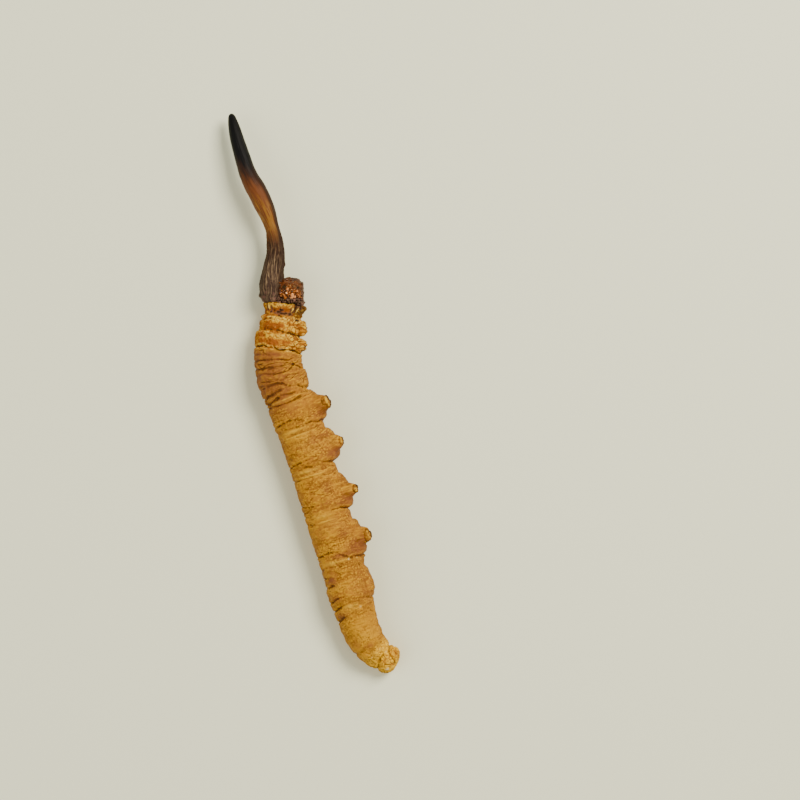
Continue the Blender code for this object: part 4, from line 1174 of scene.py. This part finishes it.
def fungus_paint(settings):
    """Dried fungus: black tip, dark red-brown, orange-brown with a dark right side, then purplish brown with
    olive-brown strands at the foot; painted light on the foot's ridges, and painted shade in its grooves and
    along both its sides."""
    paint = Paint("fungus_skin", settings)
    along, hollow, ridge, right, strand, pink = paint.masks("along hollow ridge right strand pink")
    mottled, fine = paint.noise(0.8), paint.noise(0.14, 3.0, 0.65)
    strayed_along = along + 1.4 * (strand - 0.5)
    uneven = strayed_along + 0.8 * (mottled - 0.5) - 1.3 * right
    dark_side = right.between(0.42, 0.8) * along.between(6.0, 9.0)
    # the foot's two sides, for painted shade where it turns away at its outline
    dark_edges = right.between(0.30, 0.85) + right.between(-0.45, -0.95)
    foot = paint.coated(
        "foot_dark",
        (fine.between(0.35, 0.65), "foot"),
        # painted light on the ridges
        (ridge * 0.35, "foot_ridge"),
        (strand.between(0.45, 0.8) * (0.3 + 0.9 * mottled), "foot_ridge"),
        (strand.between(0.45, 0.25) * 0.8, "foot_dark"),
        (along.between(21.5, 23.5) * 0.45, "foot_dark"),
        (pink.between(0.45, 0.75) * 0.5, "foot_pink"),
        # painted shade along both sides of the foot
        (dark_edges * 0.8 * along.between(24.2, 22.4), "foot_dark"))
    grey = (along + 0.8 * (strand - 0.5)).between(17.0, 20.2) * (0.55 + 0.45 * right.between(0.9, 0.3))
    colour = paint.coated(
        "tip",
        (uneven.between(6.2, 7.8), "red_brown"),
        (uneven.between(7.6, 10.6), "orange_brown"),
        (uneven.between(11.0, 13.5) * strand.between(0.35, 0.62), "honey"),
        (dark_side * 0.9, "red_brown"),
        (strayed_along.between(15.2, 17.8) * 0.8, "foot_dark"),
        (grey, foot),
        # painted shade in the hollows between the ridges
        (hollow * 0.8 * along.between(12.0, 16.0), "foot_dark"))
    roughness = 0.40 + 0.2 * fine + 0.2 * along.between(14.0, 18.0)
    return paint.finish({"Base Color": colour, "Roughness": roughness, "Normal": paint.bump(fine, 0.016)},
                        {"Specular IOR Level": 0.12, "Specular Tint": STALK_SHINE})


def horn_paint(settings):
    """Head horn: glassy red-brown with amber facets and a dull dark crust at its rim; painted glints
    (highlights) on the facets' ridges and glassy lumps, and painted shade between the facets.
    """
    paint = Paint("horn_shell", settings)
    hollow, ridge, facet, rim, facing, glint = paint.masks("hollow ridge facet rim facing glint")
    fine, mottled = paint.noise(0.12, 3.0, 0.6), paint.noise(0.5)
    lit = facing * mottled.between(0.3, 0.5)
    colour = paint.coated(
        "horn",
        (facet.between(0.3, 0.8) * (0.15 + 0.7 * lit), "amber"),
        # painted highlight on the facets' ridges
        (ridge * facet.between(0.5, 0.9) * lit * 0.4, "glint"),
        # painted shade between the facets
        (hollow * 0.85, "horn_dark"),
        (glint.between(-0.15, -0.6), "horn_dark"),
        # the glassy lumps and curls: amber, then painted highlights, glint and at the brightest a near-white
        # spark
        (glint.between(0.2, 0.6) * 0.85, "amber"),
        (glint.between(0.6, 0.95) * (0.4 + mottled), "glint"),
        (glint.between(0.95, 1.2) * 0.9, "spark"),
        (rim, paint.mix(fine.between(0.35, 0.65), "horn_dark", "rim")))
    roughness = 0.16 + 0.2 * fine + 0.4 * rim
    return paint.finish({"Base Color": colour, "Roughness": roughness, "Normal": paint.bump(fine, 0.012),
                         "Coat Weight": 0.25 * (1 - rim) * facing},
                        {"Specular IOR Level": 0.25, "Coat Roughness": 0.12, "Specular Tint": WARM_SHINE})


def crumb_paint(settings):
    """Crumbs: grey-brown to dark red-brown, some amber."""
    paint = Paint("crumb_crust", settings)
    [shade] = paint.masks("shade")
    fine = paint.noise(0.12, 3.0, 0.6)
    colour = paint.coated(
        "foot_dark",
        (fine.between(0.35, 0.65), "foot"),
        (shade.between(0.3, 0.75), "foot_pink"),
        (shade.between(0.96, 0.98), "orange_brown"))
    roughness = 0.5 + 0.3 * fine
    return paint.finish({"Base Color": colour, "Roughness": roughness, "Normal": paint.bump(fine, 0.015)},
                        {"Specular IOR Level": 0.2, "Specular Tint": WARM_SHINE})


def floor_paint(settings):
    """A plain pale floor."""
    return Paint("pale_floor", settings).finish({}, {"Base Color": (*settings.floor, 1.0), "Roughness": 0.6})


# ======== sizes and colours


def colour_of(label, text, default):
    return FloatVectorProperty(name=label, description=text, subtype="COLOR", size=3, min=0, max=1,
                               default=default)


def height_of(label, text, default):
    return FloatProperty(name=label, description=text, unit="LENGTH", min=0, max=0.002, precision=6,
                         default=default)


class BodySettings(PropertyGroup):
    """Sizes and colours of the larva's skin."""

    fold_depth: FloatProperty(name="Fold depth", description="Depth of the folds as a share of the usual",
                              min=0, max=1.5, default=1.0)
    crust_height: height_of("Crust", "How far the crust on the chest rings stands out", 0.00018)
    grain_height: height_of("Grain", "Height of the skin's small grains", 0.00004)
    crease_depth: height_of("Creases", "Depth of the fine creases between the folds", 0.00006)
    pit_depth: height_of("Pits", "Depth of the skin's finest pits", 0.00004)
    skin: colour_of("Skin", "Ochre of the rings", (0.40, 0.155, 0.011))
    # pale_skin is also painted light on the grains' tops, the folds' lips and the ridges, and light_skin on
    # the tail's ridges and as the pale bands' painted sheen
    pale_skin: colour_of("Pale skin", "Lighter ochre of grains and of the tail", (0.525, 0.238, 0.008))
    light_skin: colour_of("Light skin", "Palest ochre of bands and soles", (0.68, 0.37, 0.026))
    olive_skin: colour_of("Olive skin", "Olive tinge in patches of the rings", (0.40, 0.19, 0.010))
    tail_gold: colour_of("Tail gold", "Golden yellow of the tail's end", (0.92, 0.50, 0.012))
    # reddened is also painted shade, on the swellings' tail-side slopes
    reddened: colour_of("Reddened skin", "Red-brown behind the chest", (0.225, 0.068, 0.019))
    # shade is also painted shade between the grains, in the tail crust's hollows and along the belly's and
    # back's middle lines
    shade: colour_of("Shade", "Brown between the grains", (0.17, 0.062, 0.005))
    # fold is painted shade, laid in the folds and the other hollows of the relief
    fold: colour_of("Fold", "Brown inside the folds", (0.095, 0.030, 0.005))
    crust: colour_of("Crust colour", "Yellow-orange of the crust", (0.47, 0.185, 0.009))
    # crust_gold is also painted light on the chest plates' crests, and crust_rim on the lips' ridges and the
    # grains' tops
    crust_gold: colour_of("Crust gold", "Golden crests of the crust", (0.62, 0.335, 0.017))
    crust_rim: colour_of("Crust rim", "Cream of the crust's edges", (0.76, 0.46, 0.085))
    cream: colour_of("Cream", "Nearly white middles of the largest crumbs", (0.90, 0.68, 0.34))
    crust_shadow: colour_of("Crust brown", "Orange-brown between the crust's flakes", (0.27, 0.072, 0.008))
    soil: colour_of("Soil", "Purplish brown soil caught in the crust", (0.13, 0.055, 0.030))
    # crust_depth is also painted shade in the crust's deepest cracks and hollows
    crust_depth: colour_of("Crust hollow", "Dark brown in the crust's hollows", (0.045, 0.017, 0.006))


class StalkSettings(PropertyGroup):
    """Sizes and colours of the fungus's stalk and of the crust round its foot."""

    ridge_height: height_of("Ridges", "Height of the lengthwise ridges near the foot", 0.00007)
    tip: colour_of("Tip", "Black of the tip", (0.0022, 0.0022, 0.0024))
    red_brown: colour_of("Red-brown", "Dark red-brown below the tip", (0.021, 0.0085, 0.0045))
    orange_brown: colour_of("Orange-brown", "Middle of the stalk", (0.13, 0.036, 0.007))
    honey: colour_of("Honey", "Lighter streaks in the middle", (0.23, 0.095, 0.012))
    foot: colour_of("Foot", "Grey-brown of the foot", (0.095, 0.051, 0.028))
    # foot_dark is also painted shade in the grooves and along the foot's sides, and foot_ridge painted light
    # on the ridges
    foot_dark: colour_of("Foot grooves", "Dark brown between the ridges", (0.036, 0.018, 0.010))
    foot_ridge: colour_of("Foot ridges", "Pale brown of the ridges", (0.26, 0.165, 0.08))
    foot_pink: colour_of("Foot flecks", "Purplish flecks where the foot meets the neck", (0.17, 0.075, 0.05))


class HeadSettings(PropertyGroup):
    """Sizes and colours of the head."""

    facet_size: height_of("Facet size", "Distance between the glassy facets", 0.00036)
    facet_height: height_of("Facet height", "How far the glassy facets stand out", 0.00015)
    horn: colour_of("Horn", "Red-brown of the head", (0.075, 0.017, 0.005))
    # horn_dark is also painted shade between the facets; glint and spark are painted highlights
    horn_dark: colour_of("Dark horn", "Dark brown between the facets", (0.022, 0.006, 0.002))
    amber: colour_of("Amber", "Amber of the facets", (0.42, 0.115, 0.015))
    glint: colour_of("Glint", "Light amber on the facets' edges", (0.88, 0.38, 0.13))
    spark: colour_of("Spark", "Palest pink of the brightest facet", (0.98, 0.66, 0.42))
    rim: colour_of("Rim", "Grey-brown crust at the rim", (0.085, 0.043, 0.032))


class StageSettings(PropertyGroup):
    """The floor, the lights and the camera."""

    floor: colour_of("Floor", "Colour of the floor", (0.865, 0.845, 0.56))
    floor_size: FloatProperty(name="Floor size", description="Side of the floor", unit="LENGTH", default=1.2)
    key_power: FloatProperty(name="Key light", description="Watts of the main soft light", default=3.0)
    fill_power: FloatProperty(name="Fill light", description="Watts of the fill light", default=0.9)
    daylight: FloatProperty(name="Daylight", description="Strength of the light from all round", default=0.5)
    distance: FloatProperty(name="Camera distance", description="Height of the camera above the specimen",
                            unit="LENGTH", default=0.45)


# ======== operators


def add_piece(name, mesh, material, node=None):
    """Put a finished mesh in the scene, in place of its node if it has one."""
    mesh.materials.append(material)
    piece = bpy.data.objects.new(name, mesh)
    bpy.context.scene.collection.objects.link(piece)
    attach(piece, "root")
    if node:
        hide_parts(node)


class CORDYCEPS_OT_body(Operator):
    """Make the larva's body with its folds, stubs of legs and crust"""

    bl_idname = "cordyceps.body"
    bl_label = "Larva body"

    def execute(self, context):
        settings = context.scene.cordyceps_body
        at, rings, normals, masks = body_surface(settings)
        material = skin_paint(settings)
        for name, start, end in zip(BODY_NAMES, BODY_CUTS, BODY_CUTS[1:]):
            first = max(np.searchsorted(at, start) - 1, 0)
            rows = slice(first, np.searchsorted(at, end))
            part = {label: values[rows] for label, values in masks.items()}
            mesh = closed_mesh(name, rings[rows], normals[rows], part)
            add_piece(name, mesh, material, "larva_body")
        return {"FINISHED"}


class CORDYCEPS_OT_legs(Operator):
    """Make the knobs of the belly's legs with their soles and dark hooks"""

    bl_idname = "cordyceps.legs"
    bl_label = "Leg knobs"

    def execute(self, context):
        knobs, masks = leg_knobs()
        mesh = closed_mesh("leg_knobs", knobs, None, masks)
        skin = bpy.data.objects[BODY_NAMES[0]].data.materials[0]
        add_piece("leg_knobs", mesh, skin)
        return {"FINISHED"}


class CORDYCEPS_OT_head(Operator):
    """Make the head with its glassy facets"""

    bl_idname = "cordyceps.head"
    bl_label = "Head"

    def execute(self, context):
        settings = context.scene.cordyceps_head
        rings, normals, masks = head_surface(settings)
        mesh = closed_mesh("head_shell", rings, normals, masks)
        add_piece("head_shell", mesh, horn_paint(settings), "head_capsule")
        return {"FINISHED"}


class CORDYCEPS_OT_stalk(Operator):
    """Make the fungus's stalk with its ridges"""

    bl_idname = "cordyceps.stalk"
    bl_label = "Fungus stalk"

    def execute(self, context):
        settings = context.scene.cordyceps_stalk
        rings, normals, masks = stalk_surface(settings)
        mesh = closed_mesh("stalk_skin", rings, normals, masks)
        add_piece("stalk_skin", mesh, fungus_paint(settings), "stroma")
        return {"FINISHED"}


class CORDYCEPS_OT_crust(Operator):
    """Make the crumbs of crust where the foot, the head and the neck meet"""

    bl_idname = "cordyceps.crust"
    bl_label = "Crust crumbs"

    def execute(self, context):
        crumbs, masks = crumbs_round()
        mesh = closed_mesh("junction_crumbs", crumbs, None, masks)
        add_piece("junction_crumbs", mesh, crumb_paint(context.scene.cordyceps_stalk))
        return {"FINISHED"}


def turn_to(thing, place, aim):
    """Put a lamp or camera at a place and point it at another, +Y of the scene upwards in its picture."""
    back = unit(np.array(place) - np.array(aim))
    right = unit(np.cross([0, 1, 0], back))
    up = np.cross(back, right)
    matrix = np.eye(4)
    matrix[:3, 0], matrix[:3, 1], matrix[:3, 2], matrix[:3, 3] = right, up, back, place
    thing.matrix_world = matrix.T


def soft_light(name, place, aim, size, power, tint):
    """A square lamp at a place, turned towards a point."""
    data = bpy.data.lights.new(name, "AREA")
    data.shape = "SQUARE"
    data.size = size
    data.energy = power
    data.color = tint
    lamp = bpy.data.objects.new(name, data)
    bpy.context.scene.collection.objects.link(lamp)
    turn_to(lamp, place, aim)


# The picture is 100 mm wide at the specimen's middle height, and the specimen lies left of its middle
PICTURE_WIDTH = 0.100
PICTURE_MIDDLE = (0.01075, -0.00094, 0.00275)
SENSOR_WIDTH = 36.0


class CORDYCEPS_OT_stage(Operator):
    """Make the pale floor, the soft lights and the camera that looks straight down"""

    bl_idname = "cordyceps.stage"
    bl_label = "Stage"

    def execute(self, context):
        settings = context.scene.cordyceps_stage
        half = settings.floor_size / 2
        mesh = bpy.data.meshes.new("floor")
        corners = [(-half, -half, 0), (half, -half, 0), (half, half, 0), (-half, half, 0)]
        mesh.from_pydata(corners, [], [(0, 1, 2, 3)])
        mesh.materials.append(floor_paint(settings))
        floor = bpy.data.objects.new("floor", mesh)
        context.scene.collection.objects.link(floor)

        middle = PICTURE_MIDDLE
        soft_light("key_light", (0.22, 0.18, 0.38), middle, 0.20, settings.key_power, (1.0, 0.985, 0.96))
        soft_light("fill_light", (-0.30, -0.10, 0.34), middle, 0.40, settings.fill_power, (0.96, 0.98, 1.0))

        world = bpy.data.worlds.new("daylight")
        world.use_nodes = True
        sky = world.node_tree.nodes["Background"]
        sky.inputs["Color"].default_value = (1.0, 0.995, 0.98, 1.0)
        sky.inputs["Strength"].default_value = settings.daylight
        context.scene.world = world

        data = bpy.data.cameras.new("camera")
        data.sensor_width = SENSOR_WIDTH
        data.lens = SENSOR_WIDTH * settings.distance / PICTURE_WIDTH
        data.clip_start = 0.01
        camera = bpy.data.objects.new("camera", data)
        context.scene.collection.objects.link(camera)
        turn_to(camera, (middle[0], middle[1], middle[2] + settings.distance), middle)
        context.scene.camera = camera
        return {"FINISHED"}


class CORDYCEPS_PT_panel(Panel):
    """Buttons and settings for every piece"""

    bl_label = "Dried cordyceps"
    bl_idname = "CORDYCEPS_PT_panel"
    bl_space_type = "VIEW_3D"
    bl_region_type = "UI"
    bl_category = "Cordyceps"

    def draw(self, context):
        for operator, group in STEPS:
            box = self.layout.box()
            box.operator(operator)
            if group:
                settings = getattr(context.scene, group)
                for name in settings.bl_rna.properties.keys():
                    if name not in ("rna_type", "name"):
                        box.prop(settings, name)


STEPS = [
    ("cordyceps.body", "cordyceps_body"),
    ("cordyceps.legs", None),
    ("cordyceps.head", "cordyceps_head"),
    ("cordyceps.stalk", "cordyceps_stalk"),
    ("cordyceps.crust", None),
    ("cordyceps.stage", "cordyceps_stage"),
]
GROUPS = {
    "cordyceps_body": BodySettings,
    "cordyceps_head": HeadSettings,
    "cordyceps_stalk": StalkSettings,
    "cordyceps_stage": StageSettings,
}
CLASSES = (*GROUPS.values(), CORDYCEPS_OT_body, CORDYCEPS_OT_legs, CORDYCEPS_OT_head, CORDYCEPS_OT_stalk,
           CORDYCEPS_OT_crust, CORDYCEPS_OT_stage, CORDYCEPS_PT_panel)


def register():
    for each in CLASSES:
        bpy.utils.register_class(each)
    for name, group in GROUPS.items():
        setattr(bpy.types.Scene, name, PointerProperty(type=group))


def unregister():
    for name in GROUPS:
        delattr(bpy.types.Scene, name)
    for each in reversed(CLASSES):
        bpy.utils.unregister_class(each)


def main():
    register()
    for operator, _ in STEPS:
        group, name = operator.split(".")
        getattr(getattr(bpy.ops, group), name)()


if __name__ == "__main__":
    main()
